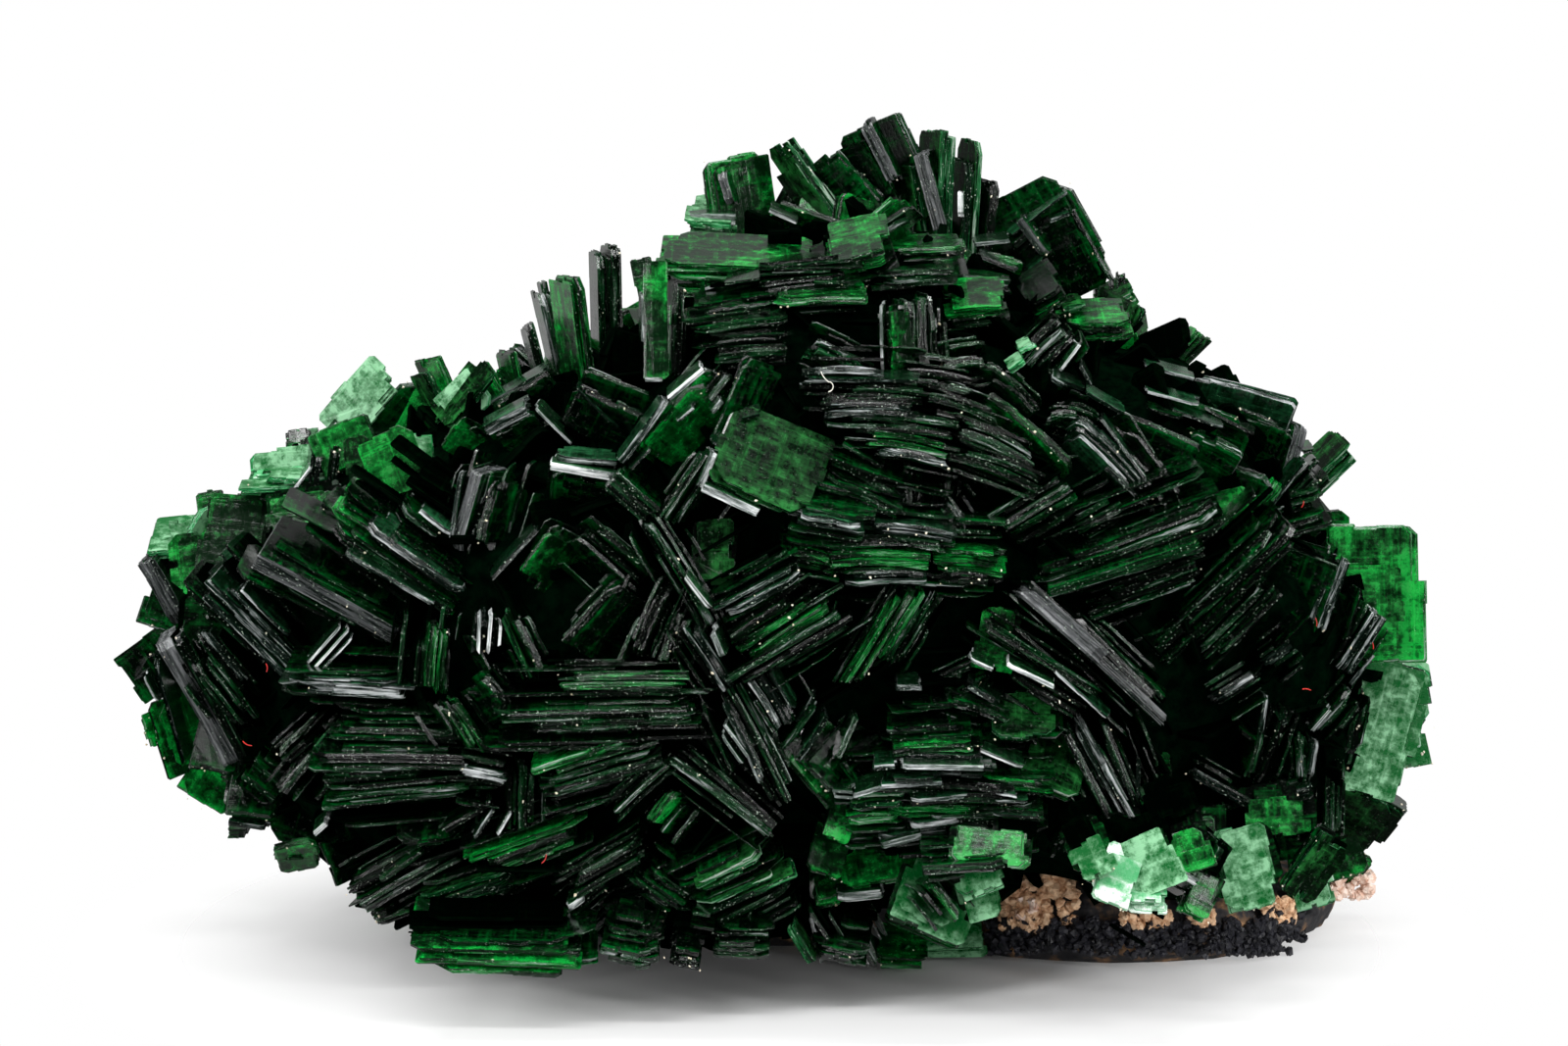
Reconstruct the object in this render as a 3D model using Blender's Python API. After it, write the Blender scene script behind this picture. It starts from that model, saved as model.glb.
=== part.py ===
"""Metatorbernite: a rosette of thin square-tabular crystals on a slab of its rock.

Two pieces grown as one specimen: the intergrown crystals (crystal_mass) and the rock
they sit on (matrix_rock). Lengths in the tables are millimetres; the scene is in metres.
X runs left to right, Y away from the viewer, Z up, and the flat underside of the rock is Z = 0.
"""

import math

import bmesh
import bpy
from mathutils import Matrix, Vector

MM = 0.001

# The viewer stands here; the crystals' ends are given where they are seen on the plane Y = 0.
EYE = Vector((0.3, -224.593, 53.164))

# Half-width of the crystals' common root in the plane Y = 0, every 15 degrees from +X round towards +Z.
ROOT_RADII = (
    31.2, 27.5, 26.0, 22.0, 20.5, 21.4, 20.6, 18.3, 17.2, 16.4, 21.0, 26.2,
    30.4, 29.8, 27.0, 23.0, 18.6, 16.8, 16.2, 15.6, 17.0, 20.0, 28.2, 31.2,
)
ROOT_HEIGHT = 17.0
ROOT_DEPTH = 18.5
ROOT_ROUNDING = 2.3
ROOT_RINGS = 5
RIM_STAND = 1.0  # crystal rims start this far in front of the root

CENTRE_SHIFT = (-0.08, 0.73)  # puts the middle of the box on X = 0, Y = 0
FLOOR_GAP = 0.3  # the lowest crystals end this far above the underside of the rock
CORNER_CUT = 0.22  # share of a crystal's shorter side
CLIPPED_TURN = 40.0  # crystals turned further towards the viewer show cut corners
ROCK_GAP = 0.3  # clearance between crystals and rock
FLOOR_SIDE = 120.0

# Each crystal: the left and right end of its near rim (x, z), thickness, turn of its face
# towards the viewer in degrees, reach behind the rim, and how far it stands out.
CRYSTALS = (
    # crown, left to right
    (-11.4, 26.2, -13, 32.5, 0.5, 10, 3.4, -1.8), (-10.7, 27.5, -12.1, 34.1, 0.8, 10, 4, -1.6),
    (-9.6, 28, -10.4, 34.6, 0.6, 20, 4, -1.2), (-8.6, 29, -8.7, 36.1, 1.1, 10, 4, -1),
    (-3.8, 40.5, -3.1, 35.6, 1, 56, 3.6, -4), (4.2, 36.4, 0.5, 41.8, 1, 28, 3, -3),
    (5.9, 38.1, 2.6, 41.7, 0.8, 58, 3.4, -3), (9, 37, 6, 43.5, 0.9, 60, 3.8, -4),
    (6.4, 38.4, 4.3, 42.3, 0.6, 58, 2.8, -3.2), (7.9, 36.3, 7, 41.1, 0.7, 35, 3.2, -3.5),
    (8.4, 33, 8.8, 42.2, 0.8, 15, 4, -2.6), (9.7, 33, 10.2, 41.6, 0.8, 12, 4, -3),
    (-0.4, 38.5, 3.5, 37.1, 0.4, -50, 2.6, -4), (2.6, 35.6, 6.3, 38.8, 0.5, -35, 3.2, -3),
    (2.5, 34.9, 7, 37.9, 0.5, -15, 4, -2.6), (-5, 36.8, -1.9, 36.5, 0.8, 14, 5, -3),
    (17.9, 34.1, 14.5, 40.2, 0.8, 70, 8.2, -3), (17.3, 33.9, 15, 38.5, 0.5, 70, 4.4, -2.2),
    # long ledge under the crown
    (-6.4, 34.6, 2.6, 34.1, 0.9, 16, 5, -1), (2.2, 34.4, 6.4, 35.4, 0.8, 20, 5, -0.4),
    (5.2, 35.2, 10.4, 35.5, 0.8, 5, 5, -0.8), (9.8, 35.4, 12.8, 35.1, 1, -30, 4, -1),
    (-1.2, 33.7, 4.2, 34.2, 0.6, 5, 5, 0.2), (-5.2, 28.7, -5, 34.4, 0.6, 25, 3, 0.4),
    (-4.9, 31.4, 1, 32.2, 0.45, 10, 4, 1), (-4.2, 32.3, 0, 32.9, 0.4, 10, 4, 0.6),
    (-3.4, 30.6, 0.7, 30.9, 1, 0, 4, 0), (1.4, 31, 4.9, 29.4, 0.5, -20, 3, 0.6),
    (5.6, 33, 5.7, 29.2, 0.4, 50, 2, 0.4), (7.4, 29.3, 7.2, 33.3, 1, 12, 3, 0.8),
    (8.3, 29.6, 8.1, 32.7, 0.4, 5, 3, 0.3), (8.3, 32.2, 12.2, 32.5, 0.7, 18, 4, 0),
    (12.9, 29.8, 15, 31.9, 1.4, 0, 4, 0), (14.5, 31.3, 18.6, 31.5, 0.9, 15, 4, -2),
    # the right shoulder
    (18.3, 30.6, 21, 29.6, 0.4, -50, 3, -3), (20.9, 29.6, 27.1, 27.6, 0.8, -52, 6, -2),
    (22.9, 27.8, 26.8, 26.4, 0.6, -58, 5, -1.2), (21, 26.6, 24.4, 25.2, 0.5, -58, 5, -0.6),
    (18, 27.3, 21.9, 25.5, 0.3, -58, 5, -0.6), (27.3, 27.2, 26, 23, 0.9, -20, 4, -2.4),
    (15.6, 27.1, 19.8, 22.8, 0.5, -40, 4, 0.6), (18, 27.2, 21.8, 21.7, 0.4, -45, 5, 0.2),
    (22.8, 20.3, 25.3, 21, 0.5, 72, 2.6, -1.6),
    # the fan in the middle
    (1.2, 28.6, 7.4, 28.6, 1, -8, 5, 1.6), (2.7, 27.3, 8.5, 27.5, 0.6, -5, 5, 2.2),
    (8.4, 27.5, 12, 24.9, 0.9, -25, 4, 1.6), (3.9, 26.4, 9.4, 26, 0.5, -5, 5, 2),
    (8, 26.2, 13.3, 24.2, 0.5, -10, 4, 1.6), (4, 25.9, 9.5, 24.7, 0.5, -5, 5, 2.6),
    (8.8, 24.8, 13.8, 23, 0.4, -5, 4, 2), (8, 29.6, 10.9, 30, 0.4, -15, 4, 1),
    (10.7, 30, 14, 27, 0.5, -48, 5, 1), (2, 24.2, 6.5, 21.9, 0.5, 35, 4, 1),
    (2.7, 21.9, 9.4, 21.1, 0.5, 22, 4, 2), (3, 20.7, 9.3, 20.4, 0.5, 5, 4, 1.6),
    (1.6, 18.8, 8, 19, 1.2, 8, 5, 1.4), (7.2, 18.9, 12.2, 19.1, 1.4, 8, 5, 1.8),
    (7.4, 21.4, 7.1, 24.7, 0.8, 5, 4, -0.4), (8.5, 21.5, 8.9, 24.5, 0.6, 5, 4, -0.6),
    # crossing bundles right of the middle
    (11.1, 20.9, 15.3, 23.4, 1, 0, 5, 0.8), (15, 21.1, 17.9, 22.7, 0.8, 0, 5, 0.6),
    (13.8, 18.4, 23.8, 22.3, 1.2, 8, 6, 2), (14, 17.9, 22.3, 20.5, 0.5, 5, 5, 2.6),
    (15.7, 16.7, 22.6, 19.2, 0.9, 0, 5, 1.4), (19.3, 14, 27.2, 21.4, 1, 10, 5, 1),
    (22.1, 14.2, 26.6, 18.8, 0.9, 0, 4, 1), (25.4, 21.1, 28.6, 24.3, 0.9, 0, 5, -1.6),
    (26.6, 22, 30.1, 25.4, 0.9, 10, 4, -3.6), (24.6, 20.6, 29, 21.8, 0.6, 10, 4, -1.6),
    (12.7, 18.3, 17.3, 14.2, 0.8, -8, 4, 3.2), (16, 15.1, 20.3, 11.1, 0.6, -8, 4, 2.8),
    (15.2, 17, 19.8, 12.2, 0.4, 0, 4, 2.2), (10.4, 16.6, 17.3, 12.3, 0.5, -5, 4, 2.6),
    (12, 14, 16.1, 11.5, 0.5, -5, 4, 2.4), (3.8, 12.8, 7.2, 18.4, 1.2, 0, 4, 1.4),
    (5.4, 13.4, 8.2, 17.9, 0.9, 0, 4, 1), (8.4, 12.2, 11.1, 13.4, 0.4, 0, 3, 0.8),
    (22.5, 12.1, 25.2, 13.8, 0.5, -10, 3, 1),
    # right side plates
    (27.9, 14.2, 29.8, 20, 0.6, 64, 3.2, -1.2), (29.3, 12.8, 31.7, 16.8, 0.8, 58, 3.6, -2),
    (28.4, 14, 34.4, 14.1, 0.7, 80, 7.2, -2), (28.4, 7.7, 33.4, 6.4, 0.6, 76, 7, -1.4),
    (29.6, 9.9, 35, 10.8, 0.6, 76, 3.4, -1), (29.4, 8.2, 33.2, 6.3, 0.6, -54, 4.4, -0.6),
    (29.9, 8.5, 30.9, 13, 0.6, 15, 4, -2.6), (25.1, 7.7, 26.6, 11.7, 0.4, 0, 4, 0),
    (27.3, 7.6, 27.1, 10.4, 0.6, 10, 3, -0.6), (28, 10.4, 30.2, 12.9, 0.4, 0, 3, -1.4),
    (21.4, 8.6, 25.3, 6.4, 0.5, -5, 4, 1), (25.7, 6.7, 28.3, 7.3, 1, 10, 4, -0.4),
    (29.3, 4.5, 29.3, 9, 0.8, 10, 4, -1.6), (28.6, 5, 31.4, 3.6, 0.5, -46, 3, -0.2),
    # the middle left
    (-4, 29.7, -8.2, 24.8, 0.5, 52, 4.4, 1.4), (-4.1, 23.3, 3.6, 21, 0.6, 52, 5.4, 2.4),
    (-6.2, 21.8, -3.8, 25.4, 0.5, -15, 4, 2.4), (-1.6, 30.4, -3.6, 25.8, 0.3, 50, 2.6, 0.8),
    (-15.8, 27.1, -11.8, 29.5, 0.6, -55, 6, 0.6), (-15.1, 26.2, -12.5, 27.7, 0.5, -55, 5, 1.2),
    (-11.9, 24.7, -8.4, 24.3, 0.9, -50, 3.8, 1.4), (-10.1, 29.7, -6.3, 28.2, 0.3, -50, 2.4, -0.2),
    (-10.4, 28.8, -6.8, 27.2, 0.4, -50, 3, 0.2), (-16.9, 20, -15.4, 25.1, 0.6, -15, 4, 1.2),
    (-15.7, 20.1, -14.7, 24, 0.5, -30, 3, 0.8), (-17, 26.4, -18.3, 29.9, 0.5, 54, 5.4, -1.8),
    (-24.3, 25.7, -20, 30.2, 0.7, -46, 4.6, -1.6), (-17.7, 25.8, -15, 26.5, 0.6, 70, 3.8, -4),
    (-13.4, 26.2, -16.1, 31, 0.5, 44, 3, -1.4), (-12.9, 26.8, -13.7, 30.6, 0.4, 20, 3, -1),
    (-21.2, 22.6, -17.5, 22.9, 0.5, 74, 3.5, -0.6), (-20, 22.7, -17.4, 20.6, 0.5, 15, 4, 1),
    # far left
    (-27.4, 24.6, -22.4, 24.8, 0.9, 5, 4, -1.6), (-28.5, 23.3, -22.4, 23.4, 0.7, 10, 4, -1.2),
    (-28.2, 23.1, -29.3, 20, 0.4, 55, 4.6, -0.8), (-26.5, 22.2, -22.3, 23.3, 0.4, -58, 3.4, -1.4),
    (-23.2, 23, -22.8, 25.5, 0.4, 10, 3, -2.6), (-32.9, 19.8, -28, 20.1, 0.5, 20, 4, -1.2),
    (-31.3, 20.3, -29.6, 22.9, 0.5, -46, 4, -1.2), (-24.3, 21.9, -16.8, 16.6, 0.7, 34, 4.4, 1.4),
    (-27.8, 19.9, -19.9, 15.5, 0.6, 24, 4.6, 1.8), (-30.7, 19.1, -25, 13.3, 1.2, 10, 5, 1.4),
    (-33.1, 19.7, -31.2, 16.2, 0.8, 0, 4, 0.2), (-32.3, 16, -28.3, 8.5, 1.3, -5, 5, 1),
    (-30.2, 16, -27.6, 12.8, 0.4, -5, 4, 1), (-30, 14.6, -27.4, 11, 0.5, -5, 4, 1),
    (-35.1, 14.9, -33.1, 12, 0.5, 62, 4.6, -0.4), (-32.8, 14.8, -31.9, 12, 0.3, 10, 3, 0.2),
    (-33.4, 12.6, -31.9, 7.6, 0.4, 52, 4, -0.4), (-31.9, 7.5, -29, 5.6, 0.4, 54, 4, -0.6),
    (-31.1, 8.7, -28.1, 8.1, 0.4, 52, 4.2, 0.4), (-29.4, 6.2, -26.2, 5.8, 0.5, 52, 3.6, 0.4),
    (-28.2, 8.2, -26.3, 6.6, 0.4, 20, 3, 1), (-26.8, 4.3, -24.3, 4.8, 0.4, -50, 2.2, -0.4),
    (-24.3, 2.3, -22.4, 3.9, 0.4, 55, 3.2, 0), (-26.2, 7, -24.4, 9.2, 0.5, 0, 3, 1.4),
    (-26.5, 9.1, -24.2, 11.2, 0.3, 0, 3, 1), (-24.5, 9.2, -22.9, 11, 0.4, 0, 3, 1.2),
    (-26.1, 12.9, -18.9, 12.6, 0.9, 5, 5, 1.8), (-18, 12.5, -17.6, 16.3, 0.9, 10, 3, 1.2),
    (-17.4, 12.4, -15.4, 9.3, 0.8, -15, 3, 1.8), (-15.5, 13.6, -13.7, 11.4, 0.5, -35, 3, 1.8),
    (-13.9, 16.8, -12.1, 13.3, 0.4, -30, 3, 1), (-11.8, 21.7, -13.9, 18.7, 0.4, 50, 3.6, 0.8),
    (-10.1, 21.7, -6.3, 18.3, 0.6, -20, 4, 1.6), (-6.8, 22, -2.9, 15.4, 0.6, -8, 4, 1.8),
    (-7.9, 13.9, -5.7, 18.9, 0.7, -10, 4, 1.8), (-5.9, 14, -4.9, 17, 0.8, -10, 4, 1.4),
    (-8.4, 18.7, -11.4, 15.3, 0.6, 42, 3.8, 2), (-12, 13.2, -4.2, 13.3, 0.8, -8, 5, 2.4),
    (-11.4, 12.3, -4.5, 12.5, 0.6, 0, 5, 2), (-15.6, 10.9, -3, 11.2, 1, 5, 5, 2.8),
    # the bundle of the middle
    (-3.3, 16.5, 1.6, 19.1, 0.6, 5, 5, 2.6), (-2.6, 15.4, 0.9, 17.5, 0.5, 5, 5, 2.6),
    (-2, 14.4, 2.5, 17.4, 0.8, 0, 5, 2.6), (-2.7, 12.9, 4.1, 17, 0.7, -5, 5, 3.2),
    (-4.8, 16.2, -2.2, 12.1, 0.6, 0, 4, 2.4), (-2.4, 13.2, 1, 6.5, 0.7, -8, 4, 2.2),
    (-1.3, 13.6, 0.5, 10.6, 0.8, -8, 4, 2.6), (-3, 12.3, -0.9, 7.6, 0.4, 0, 4, 2.6),
    (0.1, 9.4, 2.9, 6.1, 0.5, 54, 5, 0.8), (1, 8.9, 3, 6.8, 0.4, 54, 4.4, 1.2),
    (-4.8, 9.6, 0.3, 5.1, 0.5, -10, 4, 2.2), (-5.6, 9.1, 0, 4.7, 0.5, -10, 4, 2.4),
    # lower left
    (-23.5, 10.3, -15.6, 10.1, 0.5, 5, 5, 1.4), (-23.7, 9.6, -17, 9.5, 0.3, 5, 4, 1.6),
    (-24.7, 8.9, -14.2, 8.8, 0.7, 5, 5, 2), (-24.7, 7.9, -18.3, 8.2, 0.5, 5, 5, 2.2),
    (-24.3, 6.9, -15.6, 7.7, 0.7, 0, 5, 2.4), (-16.8, 8.5, -14.1, 8, 0.5, -8, 4, 3),
    (-13.2, 5.2, -13.1, 9.2, 0.7, 10, 3, 2), (-12.8, 7.3, -6, 9.3, 0.7, 0, 5, 2.6),
    (-13, 8.1, -7, 10, 0.6, 8, 5, 2.4), (-8.7, 5.8, -5.5, 8.8, 0.4, 0, 4, 2.4),
    (-7, 5.4, -5.5, 7.4, 0.5, -25, 3, 1.8), (-20.3, 4.3, -16, 4.8, 0.4, 40, 3.6, 1.6),
    (-23, 1.9, -17.5, 4.8, 0.5, 0, 5, 1.8), (-22.3, 0.8, -16.4, 4.2, 0.6, -5, 5, 2.4),
    (-22.4, -0.1, -17, 2.2, 0.6, 0, 5, 2), (-16.8, 2.6, -9.8, 5.3, 1.1, 8, 5, 2.6),
    (-19, 1, -13, 3, 0.8, 5, 5, 3), (-11.5, 1.7, -6.7, 4.4, 0.9, 0, 5, 3),
    (-13, -1.1, -8.8, 2.6, 0.5, -5, 4, 3.4), (-11.3, -1.2, -8.3, 1.9, 0.6, -5, 4, 3),
    (-20, -1.9, -10.4, -2.2, 0.9, 14, 6, 2.8), (-17.3, 0.5, -13.8, -0.8, 0.4, 46, 4.4, 1.6),
    # box crystal and the bottom
    (-4.9, 0.3, 0.9, 2.9, 0.6, 20, 6, 4), (-4.6, 1.8, -0.3, 3.9, 0.6, 20, 6, 3.4),
    (-3.2, 0.2, 0.7, 2.2, 0.4, 0, 4, 3.6), (-8.2, 2.7, -4.9, 0.4, 1, 20, 5, 3.4),
    (-8.4, -1.9, -6, -1.4, 0.6, 10, 4, 1.8), (-3.6, -1.2, -0.2, -1.3, 0.8, 5, 4, 2),
    (-1.9, -1.9, -0.6, 0.5, 0.4, 0, 3, 2.6), (0.6, 0.1, 2, -2.3, 0.5, 0, 3, 2),
    (3.8, 0.3, 5.2, -2.3, 0.6, -5, 3, 2), (5, -2.5, 7.2, -1, 0.5, -5, 3, 1.8),
    (1.2, 3.2, 3.6, 2.4, 0.5, 60, 3, 2), (2, 0.9, 5.9, 1.6, 0.6, 48, 4.4, 2.8),
    (3.2, 2, 8.2, 2.9, 0.5, 46, 4.2, 2.4), (5.6, 0.5, 9.7, -1.4, 0.7, 52, 3.4, 3),
    (7.5, -1.6, 11, -1.6, 0.8, 20, 4, 2), (9.8, 1, 12.3, 2.4, 0.6, 62, 3.4, 0.8),
    (8.1, 2.5, 9.8, 0.3, 0.4, -15, 5, 1.6), (7.6, 3, 12.4, 3.3, 0.6, 5, 4, 2.4),
    (8.6, 3.6, 14, 3.2, 0.5, 66, 2.6, 1.4),
    # the arched stack
    (6.2, 8.5, 11.4, 8.5, 0.9, 10, 5, 3.6), (5.2, 7.6, 12.9, 7.2, 0.4, 5, 5, 3.6),
    (6.8, 6.8, 13.2, 6.8, 0.5, 5, 5, 3.6), (5.4, 6.1, 14, 6, 0.5, 5, 5, 3.4),
    (6.8, 5.4, 13.9, 5.6, 0.4, 5, 5, 3.2), (5.2, 4.5, 11.4, 5.3, 0.5, 8, 5, 3.2),
    (10.6, 10, 15, 9.8, 0.4, 46, 3, 2), (12.2, 7.9, 15.6, 6.6, 0.6, 40, 4, 2.2),
    (8.7, 12.2, 12.3, 10.8, 0.4, 10, 4, 1.8),
    # lower right
    (15.6, 11.2, 18.7, 5.6, 0.5, 0, 4, 2.4), (17.2, 11, 19.1, 6.3, 0.5, 0, 4, 2.4),
    (15, 10.6, 18, 5, 0.4, -10, 4, 2), (18.4, 2.4, 19.3, 5.9, 0.5, 5, 3, 1.8),
    (19.1, 2.4, 21.6, 2.4, 0.5, 68, 2.2, 0.8), (20.7, 5.4, 23.6, 3.1, 0.4, -5, 3, 1.8),
    (21.2, 5.4, 25.4, 5.2, 0.6, 55, 1.8, 0.8), (23.5, 0.4, 26.4, 1.3, 0.6, 74, 4, 0.6),
    (28.9, 5.7, 26.5, 2, 0.4, 46, 2.8, 0.6), (30.3, 4.9, 27.4, 1.9, 0.4, 46, 2.6, 0.2),
)

# The unseen side: how many crystals stand on it, and the spread of their sizes.
BACK_CRYSTALS = 58
BACK_RIM = (4.5, 9.0)
BACK_THICK = (0.7, 1.7)
BACK_REACH = 5.5
GOLDEN_TURN = 2.399963

# The rock: outline of its widest level (x, y), then each level's height and share of that outline.
ROCK_OUTLINE = (
    (29.6, 1.5), (28.6, 7.0), (24.5, 11.5), (18.0, 14.2), (10.5, 15.6), (2.0, 16.0), (-6.0, 15.2),
    (-12.5, 12.6), (-16.2, 8.6), (-17.0, 4.0), (-15.2, -0.6), (-10.0, -3.4), (-3.0, -4.6), (4.0, -4.8),
    (9.6, -5.4), (12.2, -7.4), (15.0, -8.3), (18.0, -8.9), (21.2, -8.6), (24.2, -7.8), (27.0, -5.8),
    (28.9, -2.6),
)
ROCK_LEVELS = ((0.0, 0.88), (0.7, 0.97), (1.9, 1.0), (3.0, 0.95), (3.9, 0.78), (4.5, 0.45))
ROCK_TOP = 4.7
ROCK_WAVE = 0.25  # rise and fall of the upper levels
ROCK_LUMP = 0.02


def clear_scene():
    for old in list(bpy.data.objects):
        bpy.data.objects.remove(old)


def new_collection(name, hidden):
    made = bpy.data.collections.new(name)
    bpy.context.scene.collection.children.link(made)
    made.hide_render = hidden
    return made


def new_material(name, colour, roughness):
    made = bpy.data.materials.new(name)
    made.use_nodes = True
    shader = made.node_tree.nodes["Principled BSDF"]
    shader.inputs["Base Color"].default_value = (*colour, 1.0)
    shader.inputs["Roughness"].default_value = roughness
    return made


def add_object(name, shape, collection, hidden=False):
    """An object from a bmesh in millimetres, which it takes over."""
    bmesh.ops.translate(shape, vec=(*CENTRE_SHIFT, 0.0), verts=shape.verts)
    bmesh.ops.scale(shape, vec=(MM, MM, MM), verts=shape.verts)
    mesh = bpy.data.meshes.new(name)
    shape.to_mesh(mesh)
    shape.free()
    made = bpy.data.objects.new(name, mesh)
    collection.objects.link(made)
    if hidden:
        made.hide_render = True
        made.display_type = "WIRE"
    return made


def add_boolean(target, operation, operand):
    modifier = target.modifiers.new(operation.lower(), "BOOLEAN")
    modifier.operation = operation
    modifier.solver = "EXACT"
    if isinstance(operand, bpy.types.Collection):
        modifier.operand_type = "COLLECTION"
        modifier.collection = operand
    else:
        modifier.object = operand


def root_radius(angle):
    """Radius of the root in this direction, eased between the table's entries."""
    count = len(ROOT_RADII)
    place = (angle % math.tau) / math.tau * count
    low = int(place) % count
    share = place - int(place)
    share = share * share * (3 - 2 * share)
    return ROOT_RADII[low] * (1 - share) + ROOT_RADII[(low + 1) % count] * share


def root_front(x, z):
    """Depth at which crystal rims start in front of the root: a superellipse over its outline."""
    radius = root_radius(math.atan2(z - ROOT_HEIGHT, x)) + RIM_STAND
    share = min(math.hypot(x, z - ROOT_HEIGHT) / radius, 1.0)
    return -(ROOT_DEPTH + RIM_STAND) * (1 - share**ROOT_ROUNDING) ** (1 / ROOT_ROUNDING)


def along_sight(x, z, depth):
    """The point at this depth that is seen at (x, z) on the plane Y = 0."""
    seen = Vector((x, 0.0, z))
    return EYE + (seen - EYE) * ((depth - EYE.y) / -EYE.y)


def rim_depth(x, z, out):
    """Depth of a rim seen at (x, z) that stands this far out of the root, found by halving the error."""
    depth = -10.0
    for _ in range(6):
        point = along_sight(x, z, depth)
        depth = 0.5 * depth + 0.5 * (root_front(point.x, point.z) - out)
    return depth


def flat_crystal(rim_middle, along, inward, normal, rim, thick, reach, clipped):
    """A cube stretched to rim x reach x thick, its upright corners cut off where clipped is set."""
    shape = bmesh.new()
    bmesh.ops.create_cube(shape, size=1.0)
    bmesh.ops.scale(shape, vec=(rim, reach, thick), verts=shape.verts)
    if clipped:
        upright = [edge for edge in shape.edges if abs(edge.verts[0].co.z - edge.verts[1].co.z) > thick / 2]
        cut = min(rim, reach) * CORNER_CUT
        bmesh.ops.bevel(shape, geom=upright, offset=cut, segments=1, profile=0.5, affect="EDGES")
    turned = Matrix((along, inward, normal)).transposed().to_4x4()
    place = Matrix.Translation(rim_middle + inward * (reach / 2)) @ turned
    bmesh.ops.transform(shape, matrix=place, verts=shape.verts)
    return shape


def seen_crystal(row):
    """A crystal of the table: its rim in the plane across the view, its body running back from it."""
    x_a, z_a, x_b, z_b, thick, turn, reach, out = row
    depth = rim_depth((x_a + x_b) / 2, (z_a + z_b) / 2, out)
    start, end = along_sight(x_a, z_a, depth), along_sight(x_b, z_b, depth)
    along = (end - start).normalized()
    across = Vector((-along.z, 0.0, along.x))
    cosine, sine = math.cos(math.radians(turn)), math.sin(math.radians(turn))
    towards = Vector((0.0, -1.0, 0.0))
    normal = across * cosine + towards * sine
    inward = across * sine - towards * cosine
    rim = (end - start).length
    return flat_crystal((start + end) / 2, along, inward, normal, rim, thick, reach, abs(turn) > CLIPPED_TURN)


def back_crystal(index):
    """A crystal of the unseen side, placed by a golden-angle spiral over the back of the root."""
    share = (index + 0.5) / BACK_CRYSTALS
    angle = index * GOLDEN_TURN
    lift = math.sqrt(share) * 0.97
    radius = root_radius(angle) * lift
    depth = ROOT_DEPTH * (1 - lift**ROOT_ROUNDING) ** (1 / ROOT_ROUNDING)
    middle = Vector((radius * math.cos(angle), depth, ROOT_HEIGHT + radius * math.sin(angle)))
    outward = (middle - Vector((0.0, 0.0, ROOT_HEIGHT))).normalized()
    outward = Vector((outward.x, max(outward.y, 0.15), outward.z)).normalized()
    level = outward.cross(Vector((0.0, 0.0, 1.0))).normalized()
    lean = math.radians(37.0 * math.sin(index * 1.7) + 50.0 * math.sin(index * 0.61))
    along = level * math.cos(lean) + outward.cross(level) * math.sin(lean)
    across = outward.cross(along)
    turn = math.radians(52.0 * math.sin(index * 2.3))
    normal = across * math.cos(turn) + outward * math.sin(turn)
    inward = across * math.sin(turn) - outward * math.cos(turn)
    size = 0.5 + 0.5 * math.sin(index * 1.3)
    rim = BACK_RIM[0] + (BACK_RIM[1] - BACK_RIM[0]) * size
    thick = BACK_THICK[0] + (BACK_THICK[1] - BACK_THICK[0]) * (0.5 + 0.5 * math.sin(index * 2.9))
    start = middle + outward * (2.4 * math.cos(turn) - 0.4) - across * (BACK_REACH / 2 * math.sin(turn))
    return flat_crystal(start, along, inward, normal, rim, thick, BACK_REACH, abs(turn) > 0.5)


def root_shape():
    """The root: a sphere with its poles in front and behind, drawn out to the table's radii."""
    shape = bmesh.new()
    poles_along_y = Matrix.Rotation(math.radians(90), 4, "X")
    bmesh.ops.create_uvsphere(
        shape, u_segments=len(ROOT_RADII), v_segments=2 * ROOT_RINGS, radius=1.0, matrix=poles_along_y
    )
    for vertex in shape.verts:
        x, y, z = vertex.co
        width = math.hypot(x, z) ** (2 / ROOT_ROUNDING)
        depth = math.copysign(abs(y) ** (2 / ROOT_ROUNDING), y) * ROOT_DEPTH
        angle = math.atan2(z, x)
        radius = root_radius(angle) * width
        vertex.co = (radius * math.cos(angle), depth, ROOT_HEIGHT + radius * math.sin(angle))
    return shape


def rock_shape(grow):
    """The rock, or with grow its cutter: a loft of one outline, lumpy and domed above, flat below."""
    middle = Vector((sum(p[0] for p in ROCK_OUTLINE), sum(p[1] for p in ROCK_OUTLINE))) / len(ROCK_OUTLINE)
    shape = bmesh.new()
    rings = []
    for number, (height, share) in enumerate(ROCK_LEVELS):
        ring = []
        for step, corner in enumerate(ROCK_OUTLINE):
            arm = Vector(corner) - middle
            lump = 1 + ROCK_LUMP * math.sin(step * 2.1 + number * 1.9)
            place = middle + arm * share * lump + arm.normalized() * grow
            rise = ROCK_WAVE * math.sin(step * 1.7 + number * 2.3) + grow if number > 1 else 0.0
            drop = 2.0 if grow and number == 0 else 0.0
            ring.append(shape.verts.new((place.x, place.y, height + rise - drop)))
        rings.append(ring)
    peak = shape.verts.new((middle.x, middle.y, ROCK_TOP + grow))
    shape.faces.new(reversed(rings[0]))
    for low, high in zip(rings, rings[1:]):
        for near, far, above, beyond in zip(low, low[1:] + low[:1], high, high[1:] + high[:1]):
            shape.faces.new((near, far, beyond))
            shape.faces.new((near, beyond, above))
    for near, far in zip(rings[-1], rings[-1][1:] + rings[-1][:1]):
        shape.faces.new((near, far, peak))
    return shape


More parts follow.
